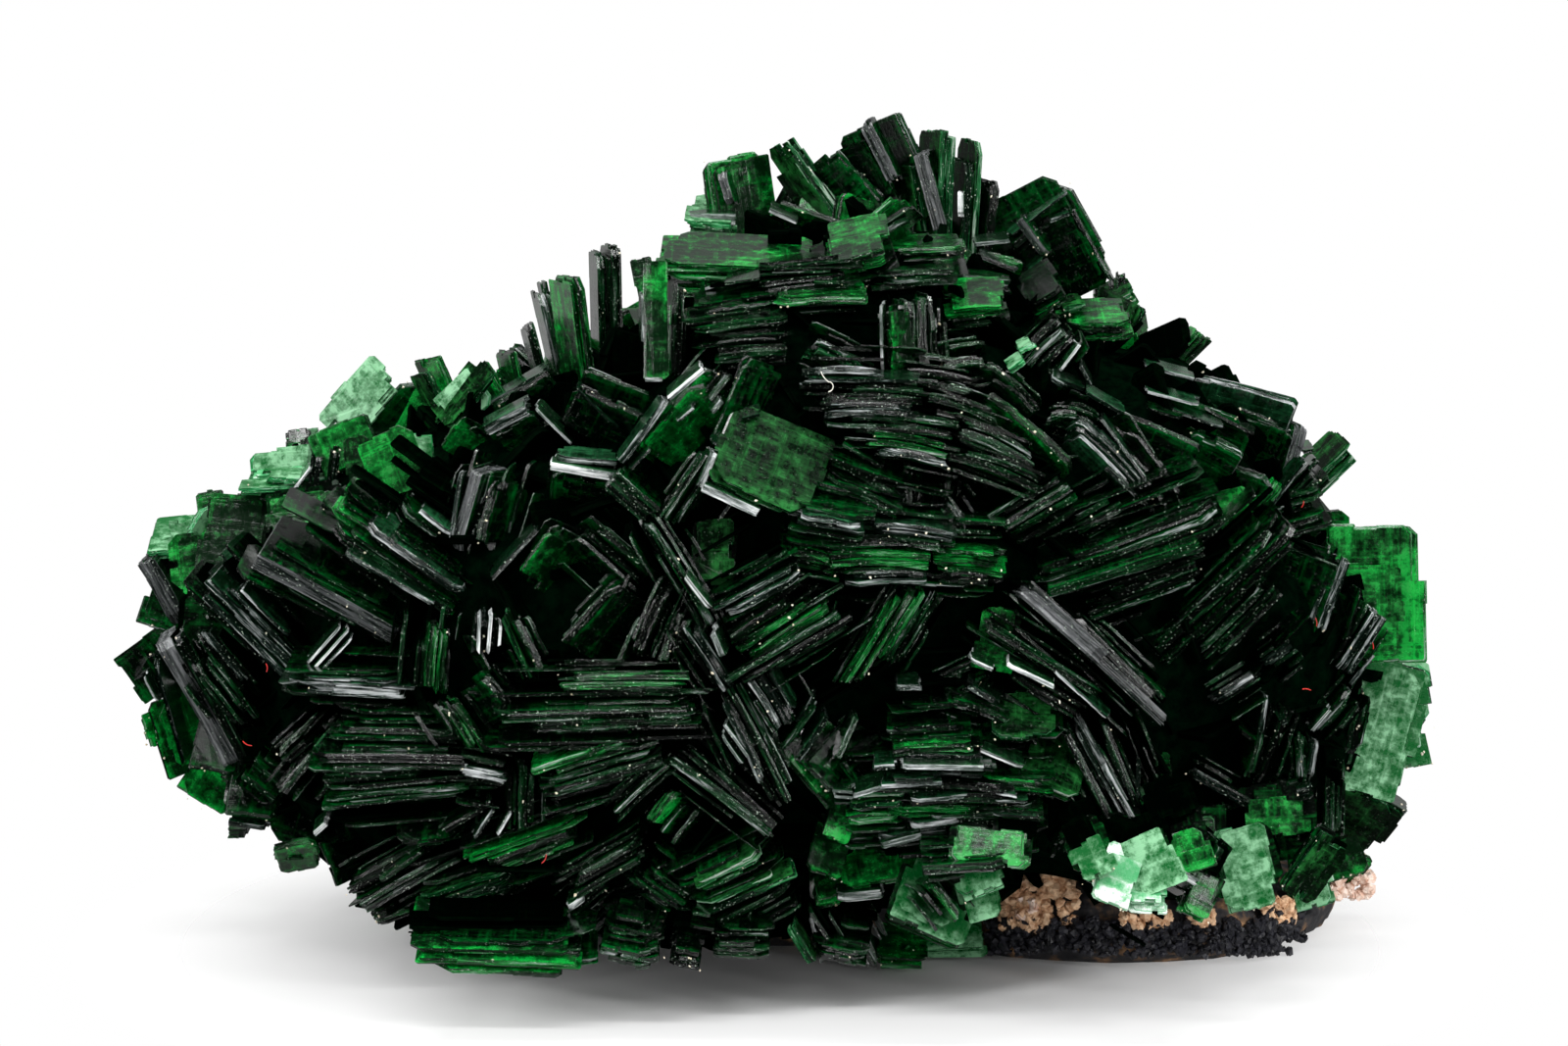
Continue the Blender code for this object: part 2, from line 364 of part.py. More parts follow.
def floor_shape():
    """The cutter that keeps every crystal just clear of the plane the specimen rests on."""
    shape = bmesh.new()
    bmesh.ops.create_cube(shape, size=FLOOR_SIDE)
    bmesh.ops.translate(shape, vec=(0.0, 0.0, FLOOR_GAP - FLOOR_SIDE / 2), verts=shape.verts)
    return shape


def main():
    clear_scene()
    parts = new_collection("metatorbernite", hidden=False)
    cutters = new_collection("cutters", hidden=True)
    grown = new_collection("grown_crystals", hidden=True)

    shapes = [seen_crystal(row) for row in CRYSTALS]
    shapes += [back_crystal(index) for index in range(BACK_CRYSTALS)]
    for number, shape in enumerate(shapes):
        add_object(f"crystal_{number:03d}", shape, grown, hidden=True)

    mass = add_object("crystal_mass", root_shape(), parts)
    add_boolean(mass, "UNION", grown)
    add_boolean(mass, "DIFFERENCE", add_object("rock_cutter", rock_shape(ROCK_GAP), cutters, hidden=True))
    add_boolean(mass, "DIFFERENCE", add_object("floor_cutter", floor_shape(), cutters, hidden=True))
    mass.data.materials.append(new_material("metatorbernite_green", (0.012, 0.16, 0.045), 0.22))

    rock = add_object("matrix_rock", rock_shape(0.0), parts)
    rock.data.materials.append(new_material("host_rock", (0.09, 0.07, 0.055), 0.85))


main()
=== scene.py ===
import collections
import math

import bpy
import numpy as np
from bpy.props import FloatProperty, FloatVectorProperty, IntProperty, PointerProperty
from bpy.types import Operator, Panel, PropertyGroup
from mathutils import Matrix


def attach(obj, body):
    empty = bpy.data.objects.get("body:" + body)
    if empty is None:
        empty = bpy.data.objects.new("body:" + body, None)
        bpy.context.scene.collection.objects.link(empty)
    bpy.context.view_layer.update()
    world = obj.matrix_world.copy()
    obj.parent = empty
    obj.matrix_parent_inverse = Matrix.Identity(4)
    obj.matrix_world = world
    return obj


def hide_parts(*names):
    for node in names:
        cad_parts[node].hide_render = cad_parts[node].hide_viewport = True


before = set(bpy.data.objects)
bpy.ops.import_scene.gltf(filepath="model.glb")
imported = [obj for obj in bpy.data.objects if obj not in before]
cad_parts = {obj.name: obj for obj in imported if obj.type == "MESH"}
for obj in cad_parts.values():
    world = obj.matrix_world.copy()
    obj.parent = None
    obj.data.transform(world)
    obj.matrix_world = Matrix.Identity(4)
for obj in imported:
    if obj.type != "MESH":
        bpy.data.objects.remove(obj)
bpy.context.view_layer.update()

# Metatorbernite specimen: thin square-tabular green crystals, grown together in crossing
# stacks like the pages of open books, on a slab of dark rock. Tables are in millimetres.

bl_info = {
    "name": "Metatorbernite Specimen",
    "version": (1, 0, 0),
    "blender": (4, 5, 0),
    "location": "3D View > Sidebar > Specimen",
    "description": "Grows the crystals, rock and dust of a metatorbernite specimen around its solids",
    "category": "Add Mesh",
}

MM = 0.001

# The camera stands at EYE. Crystal ends are given where they are seen on the plane Y = 0,
# and SHIFT moves everything so that the solids' box is centred on the origin.
EYE = np.array((0.3, -224.593, 53.164))
AIM = np.array((0.3, 0.0, 21.6))
SHIFT = np.array((-0.08, 0.73, 0.0))

# The common root of the crystals: its radius every 15 degrees from +X round towards +Z, the height
# of its middle, its half depth, and the power that rounds it. Rims stand a little out of it.
ROOT_RADII = (
    31.2, 27.5, 26.0, 22.0, 20.5, 21.4, 20.6, 18.3, 17.2, 16.4, 21.0, 26.2,
    30.4, 29.8, 27.0, 23.0, 18.6, 16.8, 16.2, 15.6, 17.0, 20.0, 28.2, 31.2,
)
ROOT_HEIGHT = 17.0
ROOT_DEPTH = 18.5
ROOT_ROUNDING = 2.3
RIM_STAND = 1.0

# Crystals on the root's dome follow a spiral that turns by the golden angle, in radians. No crystal comes
# closer to the floor than FLOOR_GAP, and no parallel sheet is seen below LOWEST_SEEN on the plane Y = 0.
GOLDEN_TURN = 2.399963
FLOOR_GAP = 0.3
LOWEST_SEEN = -1.6

# Pages of a stack: their usual thickness, how much of it is crystal and not gap, how much more ragged a
# sheet's ends are than its sides, how ragged a stack may be against its look, the most sheets of a page,
# and the depth of the fine lines.
PAGE_THICK = 0.34
PAGE_SHARE = 0.94
END_RAGGED = 3.5
RAGGED_CHOICES = (0.3, 0.7, 1.2)
MOST_SHEETS = 8
RIM_RELIEF = 0.09

# Sheets parallel to a stack lie behind it where its face turns by more than FACING_TURN degrees. The first
# ones of each stack are near it and glossy.
FACING_TURN = 30.0
NEAR_PARALLELS = 6

# Slivers: the turn of their faces in degrees, their reach behind the rim, and how ragged they are
# against stacks of the same look.
SLIVER_TURN = 5.0
SLIVER_REACH = 2.5
SLIVER_RAGGED = 0.5

# Seeds of the random draws, one for each kind of part.
PARALLEL_SEED, SLIVER_SEED, DUST_SEED, FILLER_SEED = 500, 900, 700, 99
BACK_SEED, BACK_SMALL_SEED, ROOT_SEED, ROCK_SEED = 71, 72, 5, 11
PATCH_SEED, GRAIN_SEED, DUST_GRAIN_SEED = 21, 31, 41

# Runs of the outline of one sheet: how many steps its near, right, far and left edges have.
NEAR_STEPS, RIGHT_STEPS, FAR_STEPS, LEFT_STEPS = 4, 3, 3, 3
EDGE_STEPS = NEAR_STEPS + RIGHT_STEPS + FAR_STEPS + LEFT_STEPS

# How stacks are parted by looks, and the dark ones also by the place of their middle along X.
LOOKS = {
    "d": "dark", "e": "emerald", "c": "clouded", "m": "milky", "s": "silvery", "w": "white", "p": "pale",
    "g": "slate",
}
LEFT_END, RIGHT_START = -9.0, 9.5

# Every group of crystals of the side in view, with how far its pages bulge.
# A row is: left and right end of the near rim (x, z), thickness, turn of the face towards
# the viewer in degrees, reach behind the rim, how far it stands out, look, pages.
CROWN = (
    (4.4, 42.4, 6, 39.2, 0.7, 10, 2, -2.4, "g", 1), (7.2, 41.2, 8.4, 36.8, 0.8, 10, 2, -2, "g", 1),
    (-3, 40, -2.4, 38, 0.5, 10, 2, -3, "g", 1), (12.4, 37.4, 13.9, 35.4, 0.5, 10, 2, -0.8, "g", 1),
    (10.7, 34.5, 11.3, 39.6, 0.5, 20, 3, -3.2, "d", 1), (13.2, 32.4, 15.2, 33.6, 0.6, 20, 4, -1.6, "d", 1),
    (-11.4, 26.2, -13, 32.5, 0.5, 10, 3.4, -1.8, "d", 1),
    (-10.7, 27.5, -12.1, 34.1, 0.8, 10, 4, -1.6, "d", 1),
    (-9.6, 28, -10.4, 34.6, 0.6, 20, 4, -1.2, "e", 1), (-8.6, 29, -8.7, 36.1, 1.1, 10, 4, -1, "d", 2),
    (-7.2, 33, -6.2, 33.2, 0.5, 72, 2.2, -2, "e", 1), (-3.8, 40.5, -3.1, 35.6, 1, 56, 3.6, -4, "e", 2),
    (4.2, 36.4, 0.5, 41.8, 1, 28, 3, -3, "c", 2), (5.9, 38.1, 2.6, 41.7, 0.8, 58, 3.4, -3, "d", 1),
    (9, 37, 6, 43.5, 0.9, 60, 3.8, -4, "d", 2), (6.4, 38.4, 4.3, 42.3, 0.6, 58, 2.8, -3.2, "d", 1),
    (7.9, 36.3, 7, 41.1, 0.7, 35, 3.2, -3.5, "c", 1), (8.4, 33, 8.8, 42.2, 0.8, 15, 4, -2.6, "c", 2),
    (9.7, 33, 10.2, 41.6, 0.8, 12, 4, -3, "c", 2), (-0.4, 38.5, 3.5, 37.1, 0.4, -50, 2.6, -4, "e", 1),
    (2.6, 35.6, 6.3, 38.8, 0.5, -35, 3.2, -3, "e", 1), (2.5, 34.9, 7, 37.9, 0.5, -15, 4, -2.6, "d", 2),
    (-5, 36.8, -1.9, 36.5, 0.8, 14, 5, -3, "m", 1), (17.9, 34.1, 14.5, 40.2, 0.8, 70, 8.2, -3, "d", 2),
    (17.3, 33.9, 15, 38.5, 0.5, 70, 4.4, -2.2, "d", 1), (12.1, 35.7, 13.6, 37, 0.6, 5, 3, -1.4, "d", 1),
    (16.8, 32.4, 18.7, 33.4, 0.8, 10, 4, -6, "c", 1), (18.5, 31, 19.4, 32.9, 0.6, 55, 2.4, -7, "c", 1),
)
LEDGE = (
    (-6.3, 33.6, -1, 33.5, 0.6, 10, 4, -0.2, "e", 2), (-0.8, 33, 4.6, 33.2, 0.5, 8, 4, 0.4, "e", 1),
    (4.4, 34.2, 9.4, 34.4, 0.6, 5, 4, -0.2, "d", 2), (8.8, 34.2, 12.6, 33.8, 0.6, 0, 4, -0.4, "d", 2),
    (-6.4, 34.6, 2.6, 34.1, 0.9, 16, 5, -1, "e", 3), (2.2, 34.4, 6.4, 35.4, 0.8, 20, 5, -0.4, "e", 1),
    (5.2, 35.2, 10.4, 35.5, 0.8, 5, 5, -0.8, "e", 1), (9.8, 35.4, 12.8, 35.1, 1, -30, 4, -1, "e", 1),
    (-1.2, 33.7, 4.2, 34.2, 0.6, 5, 5, 0.2, "d", 1), (-7, 29.1, -5.5, 29.1, 0.5, 78, 5.8, 0.2, "e", 1),
    (-5.2, 28.7, -5, 34.4, 0.6, 25, 3, 0.4, "d", 2), (-4.9, 31.4, 1, 32.2, 0.45, 10, 4, 1, "d", 1),
    (-4.2, 32.3, 0, 32.9, 0.4, 10, 4, 0.6, "d", 1), (-3.4, 30.6, 0.7, 30.9, 1, 0, 4, 0, "d", 2),
    (1.4, 31, 4.9, 29.4, 0.5, -20, 3, 0.6, "c", 1), (5.6, 33, 5.7, 29.2, 0.4, 50, 2, 0.4, "e", 1),
    (7.4, 29.3, 7.2, 33.3, 1, 12, 3, 0.8, "d", 3), (8.3, 29.6, 8.1, 32.7, 0.4, 5, 3, 0.3, "d", 1),
    (8.3, 32.2, 12.2, 32.5, 0.7, 18, 4, 0, "e", 1), (12.9, 29.8, 15, 31.9, 1.4, 0, 4, 0, "d", 3),
    (14.6, 32.5, 16.1, 32.9, 0.4, 5, 3, -2, "c", 1), (14.5, 31.3, 18.6, 31.5, 0.9, 15, 4, -2, "e", 1),
)
SHOULDER = (
    (18.6, 28.9, 25.4, 26.6, 0.3, -62, 7, -1.8, "d", 1), (10.9, 28.3, 15.6, 24.3, 0.5, -38, 5, 0.3, "e", 1),
    (21.6, 25.2, 26.3, 23.6, 0.4, -64, 5, -1.6, "d", 1),
    (18.9, 30.2, 27.4, 28, 0.6, -56, 7, -2.2, "s", 2),
    (22.7, 28, 26.9, 26.5, 0.6, -60, 7, -1.2, "d", 2),
    (20.9, 26.8, 24.5, 25.1, 0.5, -60, 5, -0.6, "d", 1),
    (17.8, 27.4, 22.1, 25.5, 0.4, -60, 6, -0.6, "d", 1), (27.3, 27.4, 26, 23.2, 0.8, -20, 4, -2.2, "g", 1),
    (15.6, 27.1, 19.8, 22.8, 0.9, -32, 4, 0.6, "s", 2),
    (18, 27.2, 21.8, 21.7, 0.4, -45, 5, 0.2, "d", 1),
    (13.9, 27.1, 15.8, 27.2, 0.4, -20, 4, 0.8, "d", 1), (14.8, 27.9, 16.9, 27, 0.4, -20, 3, 1, "d", 1),
    (22.8, 20.3, 25.3, 21, 0.5, 72, 2.6, -1.6, "e", 1),
)
FAN = (
    (1.1, 29.2, 6, 29.1, 0.6, -6, 5, 1.6, "s", 2), (5.6, 29.3, 10.6, 28.6, 0.7, -10, 5, 1.3, "d", 2),
    (2.4, 28.3, 8, 28.1, 0.8, -6, 5, 2, "d", 2), (7.6, 28.1, 12.2, 26.3, 0.8, -12, 5, 1.5, "d", 2),
    (2.2, 27.4, 7.4, 27.3, 0.6, -6, 5, 2.4, "s", 1), (3.4, 26.8, 9.8, 26.3, 0.8, -6, 5, 2.2, "d", 2),
    (9.4, 26.6, 13.4, 24.6, 0.8, -10, 4, 1.6, "d", 2), (4, 26.1, 9, 25.2, 0.6, -5, 5, 2.5, "e", 2),
    (8.6, 25.4, 13.9, 23.4, 0.7, -6, 4, 2, "d", 2), (5, 25.3, 9.6, 24.3, 0.4, -5, 4, 2.6, "s", 1),
    (8.3, 29.5, 10.9, 30, 0.5, -15, 4, 1, "d", 1), (10.7, 30, 13.9, 27.2, 0.6, -40, 5, 1, "d", 1),
    (1.6, 23.7, 6.5, 21.8, 0.6, 14, 4, 1.4, "d", 2), (2.4, 24.9, 6.3, 22.6, 0.4, 14, 4, 0.8, "d", 1),
    (0.4, 21.7, 5, 20.9, 0.5, 12, 4, 2.7, "s", 2), (4.6, 21.2, 9.6, 20.6, 0.5, 6, 5, 2.3, "s", 2),
    (3, 20.5, 9.3, 20.2, 0.5, 4, 4, 1.6, "d", 1), (0.4, 19.6, 3.2, 19, 0.9, 8, 4, 1.2, "e", 2),
    (2, 19.3, 8, 19.3, 0.9, 6, 5, 1.6, "e", 2), (3.4, 18.4, 8.6, 18.6, 0.6, 6, 5, 1.4, "s", 2),
    (7.4, 19.4, 12.2, 19, 0.9, 6, 5, 1.8, "e", 2), (8, 18.5, 11.6, 18.3, 0.6, 6, 5, 1.6, "d", 2),
    (7.4, 21.4, 7.1, 24.7, 0.8, 5, 4, -0.4, "d", 2), (8.5, 21.5, 8.9, 24.5, 0.6, 5, 4, -0.6, "d", 1),
    (8.6, 22.6, 9.6, 20.9, 0.4, 0, 3, 0.6, "s", 1),
)
CROSSING = (
    (11.1, 20.9, 15.3, 23.4, 1, 0, 5, 0.8, "d", 3), (15, 21.1, 17.9, 22.7, 0.8, 0, 5, 0.6, "d", 2),
    (13.8, 18.4, 23.8, 22.3, 1.2, 8, 6, 2, "d", 3), (14, 17.9, 22.3, 20.5, 0.5, 5, 5, 2.6, "d", 1),
    (15.7, 16.7, 22.6, 19.2, 0.9, 0, 5, 1.4, "d", 2), (19.3, 14, 27.2, 21.4, 1, 10, 5, 1, "d", 2),
    (22.1, 14.2, 26.6, 18.8, 0.9, 0, 4, 1, "d", 2), (25.4, 21.1, 28.6, 24.3, 0.9, 0, 5, -1.6, "d", 2),
    (26.6, 22, 30.1, 25.4, 0.9, 10, 4, -3.6, "c", 2), (24.6, 20.6, 29, 21.8, 0.6, 10, 4, -1.6, "d", 1),
    (12.7, 18.3, 17.3, 14.2, 0.9, -8, 4, 3.2, "g", 1), (16, 15.1, 20.3, 11.1, 0.6, -8, 4, 2.8, "g", 1),
    (15.2, 17, 19.8, 12.2, 0.4, 0, 4, 2.2, "d", 1), (10.4, 16.6, 17.3, 12.3, 0.5, -5, 4, 2.6, "d", 1),
    (12, 14, 16.1, 11.5, 0.5, -5, 4, 2.4, "d", 2), (8.5, 22.6, 9.7, 21, 0.4, 0, 3, 1, "d", 1),
    (10, 14, 12.2, 13.6, 0.5, 72, 3.2, 0.6, "e", 1), (3.8, 12.8, 7.2, 18.4, 1.2, 0, 4, 1.4, "e", 3),
    (5.4, 13.4, 8.2, 17.9, 0.9, 0, 4, 1, "d", 2), (8.4, 12.2, 11.1, 13.4, 0.4, 0, 3, 0.8, "d", 1),
    (22.5, 12.1, 25.2, 13.8, 0.5, -10, 3, 1, "s", 1),
    (25.4, 14.1, 26.9, 15.2, 0.5, -10, 3, 0.8, "s", 1),
)
RIGHT_SIDE = (
    (28.2, 15.5, 29.7, 19.9, 0.5, 0, 2, -0.4, "s", 1), (29.2, 13, 31.5, 16.8, 0.8, 0, 2.4, -0.8, "s", 2),
    (31.4, 8.2, 34.6, 8.9, 0.5, 72, 4.4, -2.4, "m", 1),
    (29.3, 14.2, 33.1, 14.3, 0.6, 78, 4.9, -1.8, "e", 1), (31.2, 9.2, 34.2, 9.4, 0.5, 74, 2.6, -1.2, "m", 1),
    (28.6, 3.8, 32.2, 4.4, 0.6, 74, 4, -2.4, "c", 1),
    (27.9, 14.2, 29.8, 20, 0.6, 64, 3.2, -1.2, "d", 2),
    (29.3, 12.8, 31.7, 16.8, 0.8, 58, 3.6, -2, "d", 2),
    (28.4, 14, 34.3, 14.1, 0.7, 80, 7.1, -2.6, "e", 2), (28.4, 7.7, 33.4, 6.4, 0.6, 76, 7, -1.4, "m", 2),
    (29.6, 9.9, 35, 10.8, 0.6, 76, 3.4, -1, "m", 1),
    (29.4, 8.2, 33.2, 6.3, 0.6, -54, 4, -0.6, "c", 1),
    (29.9, 8.5, 30.9, 13, 0.6, 15, 4, -2.6, "d", 2), (25.1, 7.7, 26.6, 11.7, 0.4, 0, 4, 0, "d", 1),
    (27.3, 7.6, 27.1, 10.4, 0.6, 10, 3, -0.6, "d", 1), (28, 10.4, 30.2, 12.9, 0.4, 0, 3, -1.4, "d", 1),
    (21.4, 8.6, 25.3, 6.4, 0.5, -5, 4, 1, "s", 1), (25.7, 6.7, 28.3, 7.3, 0.7, 10, 4, -0.2, "s", 2),
    (29.3, 4.5, 29.3, 9, 0.8, 10, 4, -1.6, "d", 2), (28.6, 5, 31.4, 3.6, 0.5, -46, 3, -0.2, "e", 1),
)
MIDDLE_LEFT = (
    (-4, 29.7, -8.2, 24.8, 0.5, 52, 4.4, 1.4, "e", 2), (-3.9, 28, -2.7, 29.5, 0.6, -10, 3, 1, "d", 2),
    (-4, 23.7, 1.6, 21.3, 0.6, 50, 4.7, 2.4, "c", 2),
    (-6.2, 21.8, -3.8, 25.4, 0.5, -15, 4, 2.4, "d", 1),
    (-1.6, 30.4, -3.6, 25.8, 0.3, 50, 2.2, 0.8, "d", 1),
    (-15.8, 27.1, -11.8, 29.5, 0.6, -55, 6, 0.6, "d", 2),
    (-15.1, 26.2, -12.5, 27.7, 0.5, -55, 5, 1.2, "d", 1),
    (-11.9, 24.7, -8.4, 24.3, 0.9, -50, 3.8, 1.4, "d", 2),
    (-10.1, 29.7, -6.3, 28.2, 0.3, -50, 2.4, -0.2, "d", 1),
    (-10.4, 28.8, -6.8, 27.2, 0.4, -50, 3, 0.2, "d", 1),
    (-16.9, 20, -15.4, 25.1, 0.6, -15, 4, 1.2, "g", 1),
    (-15.7, 20.1, -14.7, 24, 0.5, -30, 3, 0.8, "d", 1),
    (-17.6, 30.4, -16.4, 27.6, 0.4, -30, 3, -2.4, "e", 1),
    
    (-16.6, 26.3, -14.6, 28.2, 0.5, 70, 2.2, -2.6, "m", 1),
    (-13.2, 26.4, -15.2, 30.2, 0.5, 40, 2.6, -1.4, "e", 1),
    (-17.8, 25.4, -14.5, 29.4, 0.5, 34, 2.4, -0.8, "c", 1),
    (-12.9, 26.8, -13.7, 30.6, 0.4, 20, 3, -1, "e", 1),
    (-21.2, 22.3, -17.4, 23.9, 0.5, 74, 3.4, -0.4, "e", 1),
    (-20, 22.7, -17.4, 20.6, 0.5, 15, 4, 1, "d", 1), (-22.4, 22.8, -20.8, 23, 0.5, 76, 3.2, -2, "e", 1),
    (-16.4, 27.2, -17.8, 25.4, 0.3, 58, 2.4, -0.4, "e", 1),
)
FAR_LEFT = (
    (-24, 22.6, -17.1, 18.2, 0.5, 30, 3.4, 0.8, "e", 2), (-21.6, 21.4, -16.6, 17.8, 0.4, 14, 3, 1.2, "s", 1),
    (-27.4, 4.9, -23.4, 3.9, 0.6, 62, 3.4, -1, "d", 1),
    (-19.3, 24.6, -17.6, 24.8, 0.4, 74, 1.5, -0.1, "m", 1),
    (-25.6, 25.4, -24.2, 25.6, 0.5, 60, 1, -1.8, "d", 1), (-24.6, 20.3, -22, 22.4, 0.5, 20, 4, -0.2, "s", 1),
    (-22.6, 25, -19.2, 28.9, 0.5, 72, 2.6, -2.8, "m", 1),
    (-23.8, 23.8, -20.4, 25.2, 0.5, 74, 2.4, -3.6, "e", 1),
    (-27.8, 22.4, -23.4, 22.8, 0.6, 74, 2.6, -3.6, "m", 1),
    (-31.9, 20.1, -30, 20.3, 0.5, 72, 1.6, -2, "m", 1),
    (-31.6, 17.6, -28.4, 18, 0.6, 74, 3, -3.4, "e", 1),
    (-22.3, 25.8, -18.6, 29.8, 0.5, -66, 4.8, -1.6, "d", 1),
    (-18.5, 29.9, -16.9, 26.6, 0.45, -20, 3, -1.2, "c", 1),
    (-30.3, 20.7, -28.4, 21, 0.5, 70, 2.5, -1.8, "e", 1),
    (-26.6, 20.8, -22.6, 21.4, 0.5, 68, 2, 0, "e", 1),
    (-29.4, 20.8, -27.2, 20.8, 0.5, 66, 2.4, -0.4, "e", 1),
    (-33.6, 16.4, -29.4, 15, 0.6, 76, 4.6, -3.2, "d", 1), (-31.8, 13, -27, 12.6, 0.6, 76, 5, -3, "d", 1),
    (-30.6, 18.6, -26.6, 18.2, 0.6, 70, 4.4, -3, "e", 1),
    (-27.6, 23.7, -24.4, 24, 0.5, 20, 2, -0.6, "p", 1),
    (-28.5, 23.3, -22.4, 23.4, 0.7, 10, 4, -1.2, "m", 2),
    (-28.2, 23.1, -29.3, 20, 0.4, 55, 4.6, -0.8, "e", 2),
    (-26.5, 22.2, -22.3, 23.3, 0.4, -58, 3.4, -1.4, "e", 1),
    (-24.1, 22.9, -23.9, 25.4, 0.5, 10, 3, -1.8, "s", 2),
    (-23.2, 23, -22.9, 25.7, 0.5, 10, 3, -2, "s", 2),
    (-32.9, 19.8, -28, 20.1, 0.5, 20, 4, -1.2, "m", 1),
    (-31.3, 20.3, -29.6, 22.9, 0.5, -46, 4, -1.2, "m", 1),
    (-24.3, 21.9, -16.8, 16.6, 0.7, 16, 4.4, 1.4, "d", 2),
    (-27.8, 19.9, -19.9, 15.5, 0.9, 20, 4.6, 1.8, "g", 1),
    (-30.7, 19.1, -25, 13.3, 1.2, 10, 5, 1.4, "s", 2),
    (-33.1, 19.7, -31.2, 16.2, 1, 0, 4, 0.2, "g", 1), (-32.3, 16, -28.3, 8.5, 1.2, -5, 5, 1, "g", 2),
    (-31.6, 15.8, -27.8, 8.6, 0.5, -5, 4, 0.6, "d", 1),
    (-30.2, 16, -27.6, 12.8, 0.4, -5, 4, 1, "s", 1), (-30, 14.6, -27.4, 11, 0.5, -5, 4, 1, "d", 2),
    (-35.1, 14.9, -33.1, 12, 0.5, 62, 4.6, -0.4, "d", 1),
    (-32.8, 14.8, -31.9, 12, 0.3, 10, 3, 0.2, "d", 1),
    (-33.4, 12.6, -31.9, 7.6, 0.4, 52, 4, -0.4, "e", 2),
    (-31.9, 7.5, -29, 5.6, 0.4, 54, 4, -0.6, "e", 2),
    (-31.1, 8.7, -28.1, 8.1, 0.4, 52, 4.2, 0.4, "d", 1),
    (-29.4, 6.2, -26.2, 5.8, 0.5, 52, 3.6, 0.4, "d", 1),
    (-28.2, 8.2, -26.3, 6.6, 0.4, 20, 3, 1, "d", 1),
    (-33.6, 11.4, -32.9, 9.4, 0.3, 45, 3, -0.6, "e", 1),
    (-26.8, 4.3, -24.3, 4.8, 0.4, -50, 2.2, -0.4, "e", 1),
    (-24.3, 4.9, -23.2, 2.2, 0.4, 62, 3.6, 0, "d", 1), (-26.2, 7, -24.4, 9.2, 0.5, 0, 3, 1.4, "d", 1),
    (-26.5, 9.1, -24.2, 11.2, 0.3, 0, 3, 1, "d", 1), (-24.5, 9.2, -22.9, 11, 0.4, 0, 3, 1.2, "c", 1),
    (-26.1, 12.9, -18.9, 12.6, 0.9, 5, 5, 1.8, "s", 2),
    (-18, 12.5, -17.6, 16.3, 0.9, 10, 3, 1.2, "e", 2),
    (-17.4, 12.4, -15.4, 9.3, 0.8, -15, 3, 1.8, "e", 3),
    (-15.5, 13.6, -13.7, 11.4, 0.5, -35, 3, 1.8, "d", 1),
    (-13.9, 16.8, -12.1, 13.3, 0.4, -30, 3, 1, "d", 1),
    (-11.8, 21.7, -13.9, 18.7, 0.4, 50, 3.6, 0.8, "e", 1),
    (-15.7, 14.6, -15.4, 16.7, 0.6, 5, 3, 1.4, "s", 2),
    (-10.1, 21.7, -6.3, 18.3, 0.6, -20, 4, 1.6, "d", 2),
    (-6.8, 22, -2.9, 15.4, 0.6, -8, 4, 1.8, "d", 2),
    (-4.5, 18.3, -2.2, 18.3, 0.5, 74, 3.2, 0.2, "c", 1),
    (-7.9, 13.9, -5.7, 18.9, 0.7, -10, 4, 1.8, "d", 2), (-5.9, 14, -4.9, 17, 0.8, -10, 4, 1.4, "d", 2),
    (-8.4, 18.7, -11.4, 15.3, 0.6, 42, 3.8, 2, "d", 2),
    (-12, 13.2, -4.2, 13.3, 0.8, -8, 5, 2.4, "e", 2), (-11.4, 12.3, -4.5, 12.5, 0.6, 0, 5, 2, "d", 1),
    (-15.6, 10.9, -3, 11.2, 1, 5, 5, 2.8, "d", 3),
)
BUNDLE = (
    (-3.3, 16.5, 1.6, 19.1, 0.6, 5, 5, 2.6, "s", 2), (-2.6, 15.4, 0.9, 17.5, 0.5, 5, 5, 2.6, "d", 1),
    (-2, 14.4, 2.5, 17.4, 0.8, 0, 5, 2.6, "e", 2), (-2.7, 12.9, 4.1, 17, 0.7, -5, 5, 3.2, "d", 2),
    (-4.8, 16.2, -2.2, 12.1, 0.6, 0, 4, 2.4, "s", 2), (-2.4, 13.2, 1, 6.5, 0.7, -8, 4, 2.2, "d", 2),
    (-1.3, 13.6, 0.5, 10.6, 0.8, -8, 4, 2.6, "s", 2), (-3, 12.3, -0.9, 7.6, 0.4, 0, 4, 2.6, "s", 1),
    (0.1, 9.4, 2.9, 6.1, 0.5, 54, 5, 0.8, "e", 1), (1, 8.9, 3, 6.8, 0.4, 54, 4.4, 1.2, "d", 1),
    (3.1, 9, 4.3, 7.2, 0.4, 54, 4, 1.2, "d", 1), (-4.8, 9.6, 0.3, 5.1, 0.5, -10, 4, 2.2, "d", 1),
    (-5.6, 9.1, 0, 4.7, 0.5, -10, 4, 2.4, "d", 1),
)
